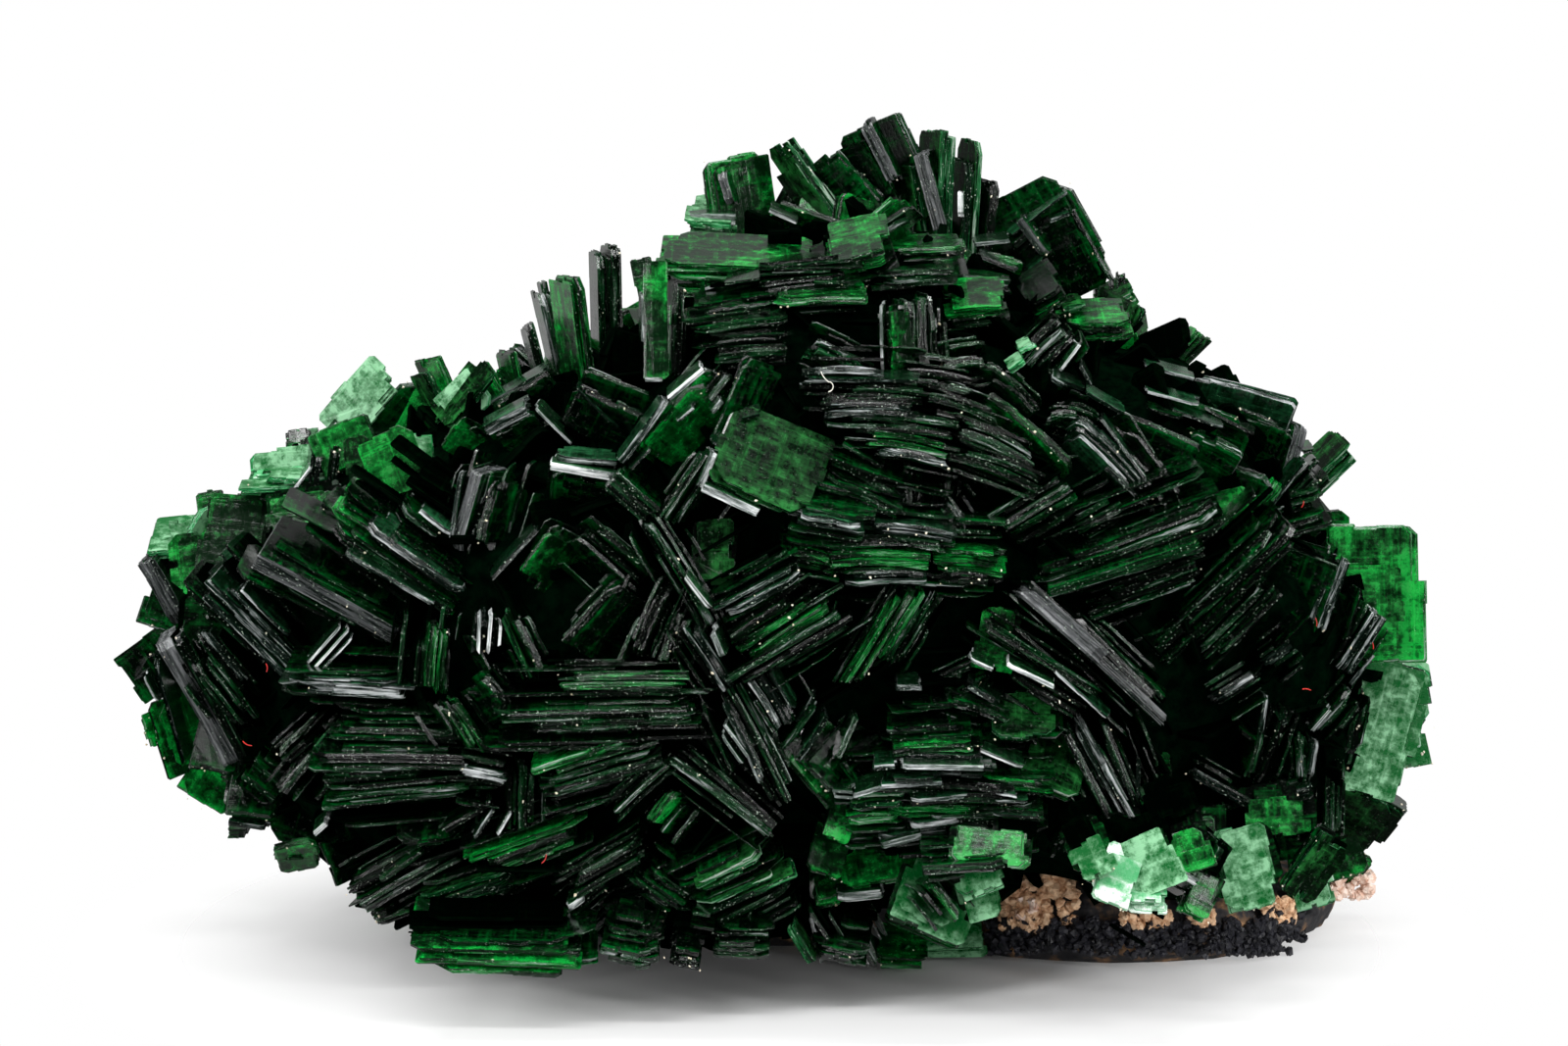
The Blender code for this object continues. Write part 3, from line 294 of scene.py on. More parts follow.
LOWER_LEFT = (
    (-23.5, 10.3, -15.6, 10.1, 0.5, 5, 5, 1.4, "d", 2), (-23.7, 9.6, -17, 9.5, 0.3, 5, 4, 1.6, "d", 1),
    (-24.7, 8.9, -14.2, 8.8, 0.7, 5, 5, 2, "d", 2), (-24.7, 7.9, -18.3, 8.2, 0.5, 5, 5, 2.2, "d", 1),
    (-24.3, 6.9, -15.6, 7.7, 0.7, 0, 5, 2.4, "d", 3), (-16.8, 8.5, -14.1, 8, 0.5, -8, 4, 3, "s", 1),
    (-13.2, 5.2, -13.1, 9.2, 0.7, 10, 3, 2, "d", 1), (-12.8, 7.3, -6, 9.3, 0.7, 0, 5, 2.6, "d", 2),
    (-13, 8.1, -7, 10, 0.6, 8, 5, 2.4, "e", 2), (-8.7, 5.8, -5.5, 8.8, 0.4, 0, 4, 2.4, "d", 2),
    (-7, 5.4, -5.5, 7.4, 0.5, -25, 3, 1.8, "e", 1), (-20.3, 4.3, -16, 4.8, 0.4, 40, 3.6, 1.6, "d", 1),
    (-23, 1.9, -17.5, 4.8, 0.5, 0, 5, 1.8, "d", 2), (-22.3, 0.8, -16.4, 4.2, 0.6, -5, 5, 2.4, "d", 1),
    (-22.4, -0.1, -17, 2.2, 0.6, 0, 5, 2, "e", 2), (-16.8, 2.6, -9.8, 5.3, 1.1, 8, 5, 2.6, "e", 3),
    (-19, 1, -13, 3, 0.8, 5, 5, 3, "c", 2), (-11.5, 1.7, -6.7, 4.4, 0.9, 0, 5, 3, "d", 3),
    (-13, -1.1, -8.8, 2.6, 0.5, -5, 4, 3.4, "d", 1), (-11.3, -1.2, -8.3, 1.9, 0.6, -5, 4, 3, "d", 2),
    (-20, -1.9, -10.4, -2.2, 0.9, 14, 6, 10.4, "e", 3),
    (-17.3, 0.5, -13.8, -0.8, 0.4, 46, 4.4, 1.6, "e", 1),
)
BOTTOM = (
    (1.5, -1.2, 5, -1.9, 0.8, 10, 4, 8.4, "d", 2), (-14, -2.1, -9.5, -1.6, 0.8, 10, 5, 9.6, "d", 2),
    (-9.6, -1.4, -6.4, -2.1, 0.7, 12, 4, 9.2, "d", 2), (5, -1.9, 8.2, -2.1, 0.6, 14, 4, 10.2, "e", 1),
    
    (9.8, 0.2, 12, 0.8, 0.5, 70, 1.9, 7.6, "m", 1), 
    (-4.9, 0.3, 0.9, 2.9, 0.6, 20, 6, 4, "c", 2), (-4.6, 1.8, -0.3, 3.9, 0.6, 20, 6, 3.4, "c", 1),
    (-3.2, 0.2, 0.7, 2.2, 0.4, 0, 4, 3.6, "d", 1), (-8.2, 2.7, -4.9, 0.4, 1, 20, 5, 3.4, "d", 2),
    (-8.4, -1.9, -6, -1.4, 0.6, 10, 4, 8.8, "d", 1), (-5.8, -1.6, -3.8, -2, 0.8, 10, 4, 9.4, "d", 1),
    (-3.6, -1.2, -0.2, -1.3, 0.8, 5, 4, 7.3, "d", 1), (-1.9, -1.9, -0.6, 0.5, 0.4, 0, 3, 5.1, "c", 1),
    (0.6, 0.1, 2, -2.3, 0.5, 0, 3, 6.7, "c", 1), (3.8, 0.3, 5.2, -2.3, 0.6, -5, 3, 6.3, "d", 1),
    (5, -2.5, 7.2, -1, 0.5, -5, 3, 9.2, "e", 1), (1.2, 3.2, 3.6, 2.4, 0.5, 60, 3, 2, "e", 1),
    (2.3, 5, 4, 4.4, 0.5, 60, 2.6, 2.4, "e", 1), (1.8, 1.1, 5.8, 1.8, 0.6, 48, 4.4, 2.8, "e", 2),
    (3.2, 2, 8.2, 2.9, 0.5, 46, 4.2, 2.4, "e", 1), (5.6, 0.7, 9.7, -1.2, 0.6, 60, 3.3, 7.4, "m", 1),
    (7.4, -1.7, 11.2, -1.5, 0.9, 40, 2.6, 7.6, "m", 1), (9.6, 1.2, 12.3, 2.3, 0.6, 64, 2.2, 7.2, "m", 1),
    (8.1, 2.5, 9.8, 0.3, 0.4, -15, 4, 7.4, "e", 1), (7.6, 3.1, 12.2, 3.4, 0.5, 5, 4, 7, "d", 1),
    (8.6, 3.6, 13.4, 3.2, 0.5, 60, 1.8, 6.4, "e", 1),
)
ARCH = (
    (5.8, 9.4, 10.6, 9.6, 0.5, 12, 5, 3, "e", 1), (9.6, 7.6, 14.6, 7.4, 0.5, 8, 5, 3, "e", 2),
    (3.6, 6.6, 7.2, 6.9, 0.7, 10, 5, 3.4, "c", 2), (3.4, 5.4, 6.8, 5.6, 0.6, 12, 5, 3.4, "e", 1),
    (6.2, 8.5, 11.4, 8.5, 0.9, 10, 5, 3.6, "s", 2), (5.2, 7.6, 12.9, 7.2, 0.4, 5, 5, 3.6, "d", 1),
    (6.8, 6.8, 13.2, 6.8, 0.5, 5, 5, 3.6, "d", 1), (5.4, 6.1, 14, 6, 0.5, 5, 5, 3.4, "e", 1),
    (6.8, 5.4, 13.9, 5.6, 0.4, 5, 5, 3.2, "d", 1), (5.2, 4.5, 11.4, 5.3, 0.5, 8, 5, 3.2, "s", 1),
    (10.6, 10, 15, 9.8, 0.4, 46, 3, 2, "c", 1), (12.2, 7.9, 15.6, 6.6, 0.6, 40, 4, 2.2, "c", 2),
    (8.7, 12.2, 12.3, 10.8, 0.4, 10, 4, 1.8, "d", 1),
)
LOWER_RIGHT = (
    (24.4, 4.9, 27.6, 5.1, 0.5, 70, 1.8, 3.4, "e", 1), (17.6, 3.4, 19.4, 3.6, 0.4, 68, 1.6, 5, "e", 1),
    (22.6, 2.9, 23.6, 4.4, 0.4, 20, 2, 7, "d", 1), (20.2, 3.6, 22.2, 2.4, 0.4, -20, 2, 8.6, "w", 1),
    (29, 2.4, 31.2, 3.2, 0.5, 70, 2, 2.4, "e", 1),
    (15.6, 11.2, 18.7, 5.6, 0.6, 0, 4, 2.4, "s", 2), (17.2, 11, 19.1, 6.3, 0.5, 0, 4, 2.4, "d", 2),
    (15, 10.6, 18, 5, 0.4, -10, 4, 2, "d", 1), (18.4, 2.6, 19.2, 5.9, 0.5, 5, 3, 3, "s", 2),
    (16.2, 1.7, 18.6, 0.7, 0.6, 64, 2.4, 9.4, "p", 1), (18.2, 0.9, 20.6, 0.8, 0.7, 44, 1.8, 9.8, "p", 1),
    (15.8, 2.2, 18, 3.2, 0.5, 70, 1.9, 8.4, "m", 1), (15.2, 3.8, 15.9, 5.2, 0.5, 10, 2, 2, "s", 1),
    (16.3, 2.9, 16.9, 5.2, 0.5, 10, 2, 2, "d", 1), (18.4, 1.3, 21.6, 2.6, 0.5, 70, 2.8, 9, "m", 1),
    (20.7, 5.5, 23.6, 3.2, 0.4, -5, 3, 2.6, "s", 1), (18.8, 6.4, 20.7, 6.3, 0.4, 74, 1.7, 0.4, "m", 1),
    (22.1, 4.7, 25.3, 4.7, 0.6, 62, 2, 0.6, "e", 1), (20.9, 1, 22.6, 0.1, 0.6, 60, 2.2, 9.4, "e", 1),
    (20.8, 2.7, 23.2, 3.5, 0.5, 66, 2, 8.4, "e", 1), (23.5, 0.6, 27, 1.5, 0.7, 76, 4, 8.4, "m", 2),
    (28.6, 5.4, 26.2, 2, 0.5, 52, 2.6, 5, "c", 1), (27, 0.7, 29.8, 1.5, 0.6, 74, 2.2, 6, "m", 1),
    (24.8, 4.8, 28.4, 5, 0.6, 74, 2, 0.4, "e", 1), (24, 3.4, 30, 4, 0.6, 78, 4.6, -2.2, "d", 1),
    (19, 4.6, 21.2, 4.8, 0.4, 66, 2, 1.4, "e", 1), (21, 3.8, 23.6, 3.9, 0.4, 66, 2, 3, "e", 1),
    (26.6, 2.6, 29.6, 3, 0.5, 74, 2.4, 2.6, "e", 1),
)

# Single thin sheets and bright steps that stand on the stacks; the bright ones, in the white and silvery
# looks, carry painted highlights on their rims. A row is: left and right end (x, z), thickness, how far it
# stands out, look.
SLIVERS = (
    (-8.2, 24.7, -5.8, 28, 0.35, 2, "s"), (-5.7, 28.1, -3.9, 29.6, 0.25, 1.9, "w"),
    (-15.8, 27.3, -11.9, 29.5, 0.35, 1.3, "s"), (-15.2, 26.4, -12.9, 27.6, 0.55, 1.8, "s"),
    (3.1, 1.6, 5.6, 1.85, 0.5, 3.4, "w"), (-14.6, 29.5, -13.8, 28.9, 0.6, -0.2, "e"),
    (6.4, 8.7, 10.8, 8.6, 0.25, 4.1, "w"), (5.9, 7.9, 8.5, 7.95, 0.25, 4.1, "s"),
    (-5.3, 26.8, -4.3, 27.7, 0.14, 1.9, "s"), (-7.8, 24.2, -6.6, 25.5, 0.12, 1.9, "s"),
    (-3.5, 27.3, -2.9, 28, 0.25, 1.6, "w"), (-4.1, 23.4, -3.3, 25.3, 0.35, 2.9, "w"),
    (-4, 23.5, -1, 22.1, 0.4, 3, "w"), (-3.5, 25.6, -2, 26.2, 0.15, 2.2, "s"),
    (-1.9, 27, -0.8, 27.3, 0.15, 2, "s"), (9.4, 38.8, 9.4, 37.5, 0.3, -1.8, "w"),
    (13.1, 34.5, 13.8, 35.2, 0.5, 0.2, "s"), (15.1, 38, 17.3, 34, 0.25, -2, "d"),
    (12, 36.5, 14.9, 38.8, 0.15, -1.8, "s"),
    (14, 37.3, 15, 37.7, 0.2, -1.6, "s"), (-0.5, 37.9, 1.1, 37.2, 0.25, -2.6, "w"),
    (-4.8, 37.4, -2.2, 37.4, 0.6, -2.6, "w"),
    (-4.9, 36.2, -3.3, 36, 0.5, -1.6, "e"), (10.1, 36.1, 12, 36.3, 0.2, -0.6, "w"),
    (7.2, 35.9, 9.4, 35.7, 0.25, -0.2, "s"), (10.4, 35.5, 12.4, 34.7, 0.2, -0.3, "s"),
    (-7, 31, -7, 33.5, 0.15, 0.9, "w"), (-6.9, 29.1, -5.9, 29.1, 0.2, 0.9, "w"),
    (-6.5, 31, -6.5, 34.4, 0.1, 0.8, "s"), (-6.1, 31.4, -6.1, 34.6, 0.1, 0.8, "s"),
    (-5.6, 31, -5.6, 34, 0.1, 0.8, "s"), (-5.2, 34.4, -4.7, 34.6, 0.15, 0.2, "w"),
    (-3.8, 33.8, -3.2, 34, 0.15, 0.6, "w"), (1.2, 29.1, 7.4, 29, 0.16, 2, "s"),
    (5.3, 33, 5.4, 29.3, 0.15, 1, "w"), (14.1, 29.2, 14.9, 28.7, 0.25, 1.2, "s"),
    (14, 29.3, 16, 28.5, 0.2, 1, "s"), (16, 28.4, 17.9, 27.3, 0.2, 1, "s"),
    (14.6, 29.5, 15.6, 30.9, 0.15, 0.9, "w"), (12, 29.5, 12.9, 30.1, 0.3, 1.2, "m"),
    (12.4, 30.5, 13.3, 30.9, 0.25, 1, "m"), (15.6, 29.9, 16.2, 28.8, 0.2, 0.8, "s"),
    (19, 29.8, 21.6, 29.1, 0.16, -1.6, "s"), (19, 28.5, 22, 27.7, 0.15, -0.8, "s"),
    (22, 27.7, 24.9, 26.1, 0.15, -0.6, "d"), (19, 27.6, 21.1, 27, 0.15, -0.4, "d"),
    (20.2, 27.6, 23.2, 26.5, 0.15, -0.4, "s"), (24.6, 22, 26.1, 23.6, 0.7, -1.2, "e"),
    (16.8, 27, 20.7, 21.8, 0.14, 0.8, "s"), (16.8, 24.7, 19.6, 22.1, 0.2, 0.7, "s"),
    (27.2, 25.3, 27.9, 25.4, 0.2, -1.6, "d"), (24.5, 20.9, 27.5, 24.9, 0.18, -0.9, "s"),
    (12, 14.1, 14.5, 12.9, 0.22, 3, "w"), (14.4, 13.8, 17.4, 11.1, 0.15, 3.1, "s"),
    (10, 14.4, 11.3, 13.8, 0.2, 2.6, "w"), (9.9, 13, 11.6, 12, 0.25, 2.2, "s"),
    (6, 12.9, 7.6, 12.9, 0.25, 1.8, "s"), (28.5, 18.2, 27.8, 16.5, 0.2, -0.6, "s"),
    (31.1, 14.6, 29.9, 13, 0.2, -1.2, "s"), (31.2, 7.2, 33.1, 6.1, 0.3, -0.2, "w"),
    (24.7, 8, 25.4, 10.5, 0.3, 0.8, "d"), (24.1, 10.7, 25, 10, 0.2, 1, "d"),
    (25.3, 10.5, 25.6, 12.5, 0.25, 0.8, "s"), (26.3, 11, 26.7, 11.2, 0.3, 0.6, "s"),
    (27.9, 8, 28.2, 10, 0.3, 0, "s"), (28, 10.6, 29, 11.8, 0.2, -0.6, "w"),
    (-4.9, 18.8, -3.5, 17, 0.25, 2.4, "w"), (-3.5, 15.9, -2.9, 14.5, 0.3, 3, "w"),
    (-0.5, 13.8, 0.8, 11.6, 0.16, 3.2, "s"), (1, 11, 2, 12.6, 0.2, 1.4, "s"),
    (-3.1, 10.5, -1.9, 8.8, 0.14, 3, "w"), (-2.8, 10.9, -1.6, 9.2, 0.14, 2.9, "w"),
    (0.1, 9.4, 2, 12, 0.3, 1.6, "d"), (1, 8.9, 2.6, 11.4, 0.25, 1.8, "s"),
    (3.1, 9, 4.1, 11.3, 0.25, 1.8, "d"),
    (2.8, 7.4, 4, 7.3, 0.14, 2.2, "w"), (2.9, 7.1, 4.1, 7, 0.12, 2.3, "w"),
    (2.8, 6.7, 3.9, 6.7, 0.12, 2.3, "s"),
    (-33.3, 13.6, -32.5, 12, 0.16, 0.8, "w"), (-32.7, 14.6, -31.2, 8.8, 0.16, 1.3, "s"),
    (-28.5, 18, -26, 15.4, 0.16, 1.9, "s"), (-28.1, 18.1, -25.6, 15.6, 0.12, 1.8, "s"),
    (-24.7, 14.1, -22.9, 16.1, 0.14, 1.2, "w"), (-24.3, 13.9, -22.5, 15.9, 0.14, 1.2, "w"),
    (-23.9, 13.8, -22.2, 15.6, 0.12, 1.2, "s"), (-26.1, 13.1, -23.8, 13.4, 0.16, 2.3, "w"),
    (-15, 18.6, -12.6, 21.2, 0.22, 1, "s"), (-15.7, 14.7, -15.6, 16.6, 0.16, 1.9, "w"),
    (-15.2, 14.5, -15, 16.7, 0.16, 1.9, "w"), (-14.6, 15, -14.5, 16.2, 0.14, 1.7, "w"),
    (-14.5, 16.8, -13, 13.3, 0.25, 1.3, "c"), (-22.6, 20, -18, 17.3, 0.22, 1.9, "s"),
    (-18.7, 22.3, -17, 20.9, 0.25, 1.3, "s"), (-16.5, 24.3, -17.1, 20.6, 0.2, 1.5, "s"),
    (-12.7, 27.7, -10.7, 25.7, 0.14, 1.3, "w"), (-10.6, 28.8, -8.3, 26.4, 0.12, 0.9, "s"),
    (-11.5, 25, -8.4, 24.7, 0.3, 1.8, "s"), (-11.9, 24.6, -8.5, 24, 0.4, 2, "w"),
    (-8.7, 23.8, -6.5, 21.9, 1.1, 1.8, "d"), (-25.3, 23.2, -24.3, 24.5, 0.16, -0.8, "w"),
    (-25.6, 25.6, -24.1, 25.7, 0.8, -2.2, "m"), (-29, 5.7, -26.8, 5.3, 0.25, 0.8, "s"),
    (-24.5, 5, -23.7, 5.7, 0.25, 0.8, "w"), (-29, 5.1, -28, 5.1, 0.5, 0.2, "e"),
    (-26.5, 4, -24.8, 4, 0.6, 0.2, "e"), (-17.9, 5, -15, 6.8, 0.3, 2.2, "d"),
    (-16.1, 4.7, -14.8, 6.6, 0.2, 2.4, "s"), (-14.8, 5, -14.1, 6.2, 0.16, 2.4, "w"),
    (-21.3, 1.2, -18.4, 3, 0.3, 2.6, "s"), (-21, 2.5, -18.6, 4.2, 0.25, 2.4, "d"),
    (-11.1, 1, -10.3, 1.6, 0.3, 3.4, "w"), (-14.2, -0.9, -12.9, 0.1, 0.35, 2.8, "e"),
    (-19.8, -1.3, -17.2, -2.1, 0.3, 3.2, "e"), (-8.4, -1.8, -7.1, -0.4, 0.2, 2.6, "w"),
    (-6.5, 0.2, -6.3, -0.7, 0.2, 2.8, "w"), (-1.1, -1.9, -0.2, 0.5, 0.2, 2.8, "s"),
    (1.7, 0.7, 2.3, -1.9, 0.2, 2.6, "s"), (4.2, 0.5, 5.2, -1.7, 0.2, 2.6, "s"),
    (4.9, 8.6, 6.3, 8.7, 0.25, 3.8, "s"), (3.9, 7.1, 6.4, 7.9, 0.2, 3.6, "w"),
    (5.3, 7.6, 8.7, 7.8, 0.2, 4, "s"), (7, 6.8, 10, 7.1, 0.22, 4, "s"),
    (11.2, 6.8, 13.2, 6.8, 0.15, 4, "s"), (11.4, 7.3, 12.5, 7.1, 0.15, 3.9, "s"),
    (10.8, 6.2, 14, 5.9, 0.15, 3.9, "s"), (6.8, 5.5, 9.7, 5.8, 0.22, 3.8, "s"),
    (5.4, 4.4, 7.6, 5, 0.35, 3.6, "w"), (10.5, 9.6, 12.9, 8.6, 0.2, 2.8, "w"),
    (9.5, 4.3, 11.2, 4.2, 0.2, 3.2, "w"), (8.2, 2.2, 9.7, 0.3, 0.25, 2.2, "e"),
    (5.6, 0.5, 9.6, -1.3, 0.25, 3.4, "e"), (16.9, 9, 18.8, 5.6, 0.3, 2.8, "s"),
    (18.9, 9, 18.9, 6.6, 0.2, 2.6, "s"), (22.4, 3.6, 22.9, 2.1, 0.25, 1.8, "w"),
)

# Group name: rows and bulge of the pages.
SEEN_GROUPS = {
    "crown": (CROWN, 0.0), "ledge": (LEDGE, 0.15), "shoulder": (SHOULDER, 0.2), "fan": (FAN, 0.3),
    "crossing": (CROSSING, 0.0), "right_side": (RIGHT_SIDE, 0.0), "middle_left": (MIDDLE_LEFT, 0.0),
    "far_left": (FAR_LEFT, 0.1), "bundle": (BUNDLE, 0.1), "lower_left": (LOWER_LEFT, 0.1),
    "bottom": (BOTTOM, 0.0), "arch": (ARCH, 0.25), "lower_right": (LOWER_RIGHT, 0.0),
}

# The unseen side, as the solid has it: how many crystals, their shortest and longest rim, their thinnest
# and thickest, their reach and raggedness, how far round the dome they go, and the most they lean and
# turn, in degrees. Smaller ones between them are sunk into the root and shrunk.
BACK_CRYSTALS = 58
BACK_RIM = (4.5, 9.0)
BACK_THICK = (0.7, 1.7)
BACK_REACH = 5.5
BACK_RAGGED = 0.3
BACK_SPAN = 0.97
BACK_LEANS = (37.0, 50.0)
BACK_TURN = 52.0
BACK_SMALL_SINK = 1.2
BACK_SMALL_SHRINK = 0.55

# The rock's outline from above (x, y), and its levels: height and share of the outline there.
ROCK_OUTLINE = np.array((
    (29.6, 1.5), (28.6, 7.0), (24.5, 11.5), (18.0, 14.2), (10.5, 15.6), (2.0, 16.0), (-6.0, 15.2),
    (-12.5, 12.6), (-16.2, 8.6), (-17.0, 4.0), (-15.2, -0.6), (-10.0, -3.4), (-3.0, -4.6), (4.0, -4.8),
    (9.6, -5.4), (12.2, -7.4), (15.0, -8.3), (18.0, -8.9), (21.2, -8.6), (24.2, -7.8), (27.0, -5.8),
    (28.9, -2.6),
))
ROCK_LEVELS = np.array((
    (0.0, 0.88), (0.7, 0.97), (1.9, 1.0), (3.0, 0.95), (3.9, 0.78), (4.5, 0.45), (4.7, 0.0),
))


def root_radius(angle):
    """Radius of the root in each direction: the table's entries, eased by s*s*(3 - 2*s) in between."""
    table = np.array(ROOT_RADII)
    place = np.mod(angle, math.tau) / math.tau * len(table)
    low = place.astype(int) % len(table)
    share = place - np.floor(place)
    share = share * share * (3 - 2 * share)
    return table[low] * (1 - share) + table[(low + 1) % len(table)] * share


def root_front(x, z):
    """Depth where rims start: -(D + s) * (1 - r**p)**(1/p), with r the share of the root's radius there."""
    angle = np.array(math.atan2(z - ROOT_HEIGHT, x))
    radius = float(root_radius(angle)) + RIM_STAND
    share = min(math.hypot(x, z - ROOT_HEIGHT) / radius, 1.0)
    return -(ROOT_DEPTH + RIM_STAND) * (1 - share**ROOT_ROUNDING) ** (1 / ROOT_ROUNDING)


def lowest_seen(placed):
    """The lowest height, on the plane Y = 0, at which any of the points is seen."""
    reach = -EYE[1] / (placed[..., 1] - EYE[1])
    return (EYE[2] + (placed[..., 2] - EYE[2]) * reach).min()


def along_sight(x, z, depth):
    """The point at this depth that is seen at (x, z) on the plane Y = 0."""
    seen = np.array((x, 0.0, z))
    return EYE + (seen - EYE) * ((depth - EYE[1]) / -EYE[1])


def rim_depth(x, z, out):
    """Depth of a rim seen at (x, z) that stands this far out of the root, found by halving the error."""
    depth = -10.0
    for _ in range(6):
        point = along_sight(x, z, depth)
        depth = 0.5 * depth + 0.5 * (root_front(point[0], point[2]) - out)
    return depth


def unit(vector):
    """The vector at length 1."""
    return vector / np.linalg.norm(vector)


def seen_stack(row):
    """For a table row: the near rim's middle, axes (along it, inward, through the pages) and length."""
    x_a, z_a, x_b, z_b, _, turn, _, out = row[:8]
    depth = rim_depth((x_a + x_b) / 2, (z_a + z_b) / 2, out)
    start, end = along_sight(x_a, z_a, depth), along_sight(x_b, z_b, depth)
    along = unit(end - start)
    across = np.array((-along[2], 0.0, along[0]))
    cosine, sine = math.cos(math.radians(turn)), math.sin(math.radians(turn))
    towards = np.array((0.0, -1.0, 0.0))
    axes = np.array((along, across * sine - towards * cosine, across * cosine + towards * sine))
    return (start + end) / 2, axes, float(np.linalg.norm(end - start))


def even_lift(share):
    """Share of the root's radius to go out to, so that equal steps cover equal parts of its dome."""
    return (1 - (1 - share) ** ROOT_ROUNDING) ** (1 / ROOT_ROUNDING)


def back_stack(index, count, sink):
    """Middle of the near rim and axes of a crystal of the unseen side.

    The crystals lie on a golden-angle spiral over the back of the root. The large ones stop short of the
    sides, and the sunken ones go all the way. Each leans and turns by sines of its number.
    """
    share = (index + 0.5) / count
    angle = index * GOLDEN_TURN
    lift = even_lift(share) if sink else math.sqrt(share) * BACK_SPAN
    radius = float(root_radius(np.array(angle))) * lift
    depth = ROOT_DEPTH * (1 - lift**ROOT_ROUNDING) ** (1 / ROOT_ROUNDING)
    middle = np.array((radius * math.cos(angle), depth, ROOT_HEIGHT + radius * math.sin(angle)))
    outward = unit(middle - (0.0, 0.0, ROOT_HEIGHT))
    outward = unit(np.array((outward[0], max(outward[1], 0.15), outward[2])))
    level = unit(np.cross(outward, (0.0, 0.0, 1.0)))
    lean = math.radians(BACK_LEANS[0] * math.sin(index * 1.7) + BACK_LEANS[1] * math.sin(index * 0.61))
    along = level * math.cos(lean) + np.cross(outward, level) * math.sin(lean)
    across = np.cross(outward, along)
    turn = math.radians(BACK_TURN * math.sin(index * 2.3))
    axes = np.array((
        along,
        across * math.sin(turn) - outward * math.cos(turn),
        across * math.cos(turn) + outward * math.sin(turn),
    ))
    stand = outward * (2.4 * math.cos(turn) - 0.4 - sink)
    start = middle + stand - across * (BACK_REACH / 2 * math.sin(turn))
    return start, axes


def sheet_rings(dice, rim, thick, reach, sheet, ragged, bulge):
    """One crystal in its own axes, as rings of its outline stacked sheet by sheet.

    P(i, k) = (u, v, w): u and v run round a rectangle of rim x reach whose edges step in by o(e, k),
    a random walk in k for every step e of the edge; w = k * thick / count + bulge * (1 - (2u / rim)**2).
    Each sheet's sides lean in or out by an angle of their own.
    """
    count = int(np.clip(round(thick / sheet), 1, MOST_SHEETS))
    half = rim / 2
    walk = np.cumsum(dice.choice((-1.0, 0.0, 0.0, 1.0), size=(count, EDGE_STEPS)), axis=0)
    steps = ragged * (dice.random(EDGE_STEPS) ** 4 + 0.22 * walk)
    steps += ragged * 0.3 * dice.random((count, 1)) + ragged * 0.1 * dice.random((count, EDGE_STEPS))
    steps *= np.repeat((1.0, END_RAGGED, 1.0, END_RAGGED), (NEAR_STEPS, RIGHT_STEPS, FAR_STEPS, LEFT_STEPS))
    steps = np.clip(steps, 0.0, 0.28 * min(half, reach))
    cut = min(rim, reach) * 0.5 * dice.choice((0.03, 0.06, 0.16, 0.3), size=4)

    def breaks(number):
        """Where the steps of an edge start and end along it, from 0 to 1."""
        inner = np.linspace(0, 1, number + 1)
        inner[1:-1] += dice.uniform(-0.4, 0.4, number - 1) / number
        return np.repeat(inner, 2)[1:-1]

    near = steps[:, :NEAR_STEPS].repeat(2, axis=1)
    right = steps[:, NEAR_STEPS : NEAR_STEPS + RIGHT_STEPS].repeat(2, axis=1)
    far = steps[:, NEAR_STEPS + RIGHT_STEPS : -LEFT_STEPS].repeat(2, axis=1)
    left = steps[:, -LEFT_STEPS:].repeat(2, axis=1)

    def between(start, end, share):
        """Points at these shares of the way from start to end, for every level."""
        return start[:, None] + (end - start)[:, None] * share[None, :]

    x_left, x_right = -half + left, half - right
    y_near, y_far = near, reach - far
    near_u = between(x_left[:, -1] + cut[0], x_right[:, 0] - cut[1], breaks(NEAR_STEPS))
    right_v = between(y_near[:, -1] + cut[1], y_far[:, 0] - cut[2], breaks(RIGHT_STEPS))
    far_u = between(x_right[:, -1] - cut[2], x_left[:, 0] + cut[3], breaks(FAR_STEPS))
    left_v = between(y_far[:, -1] - cut[3], y_near[:, 0] + cut[0], breaks(LEFT_STEPS))
    u = np.concatenate((near_u, x_right, far_u, x_left), axis=1)
    v = np.concatenate((y_near, right_v, y_far, left_v), axis=1)
    u, v = u.repeat(2, axis=0), v.repeat(2, axis=0)
    lean = np.tan(np.clip(dice.uniform(-0.4, 0.4) + dice.normal(0, 0.35, count), -1.0, 1.0)) * thick / count
    inset = (lean[:, None] * (-0.5, 0.5)).reshape(-1, 1)
    u = u * (1 - inset / half)
    v = v + inset * (1 - 2 * v / reach)
    w = (np.arange(2 * count) + 1) // 2 / count - 0.5
    w = np.broadcast_to(w[:, None] * thick, u.shape)
    return np.stack((u, v, w + bulge * (1 - (u / half) ** 2)), axis=-1)


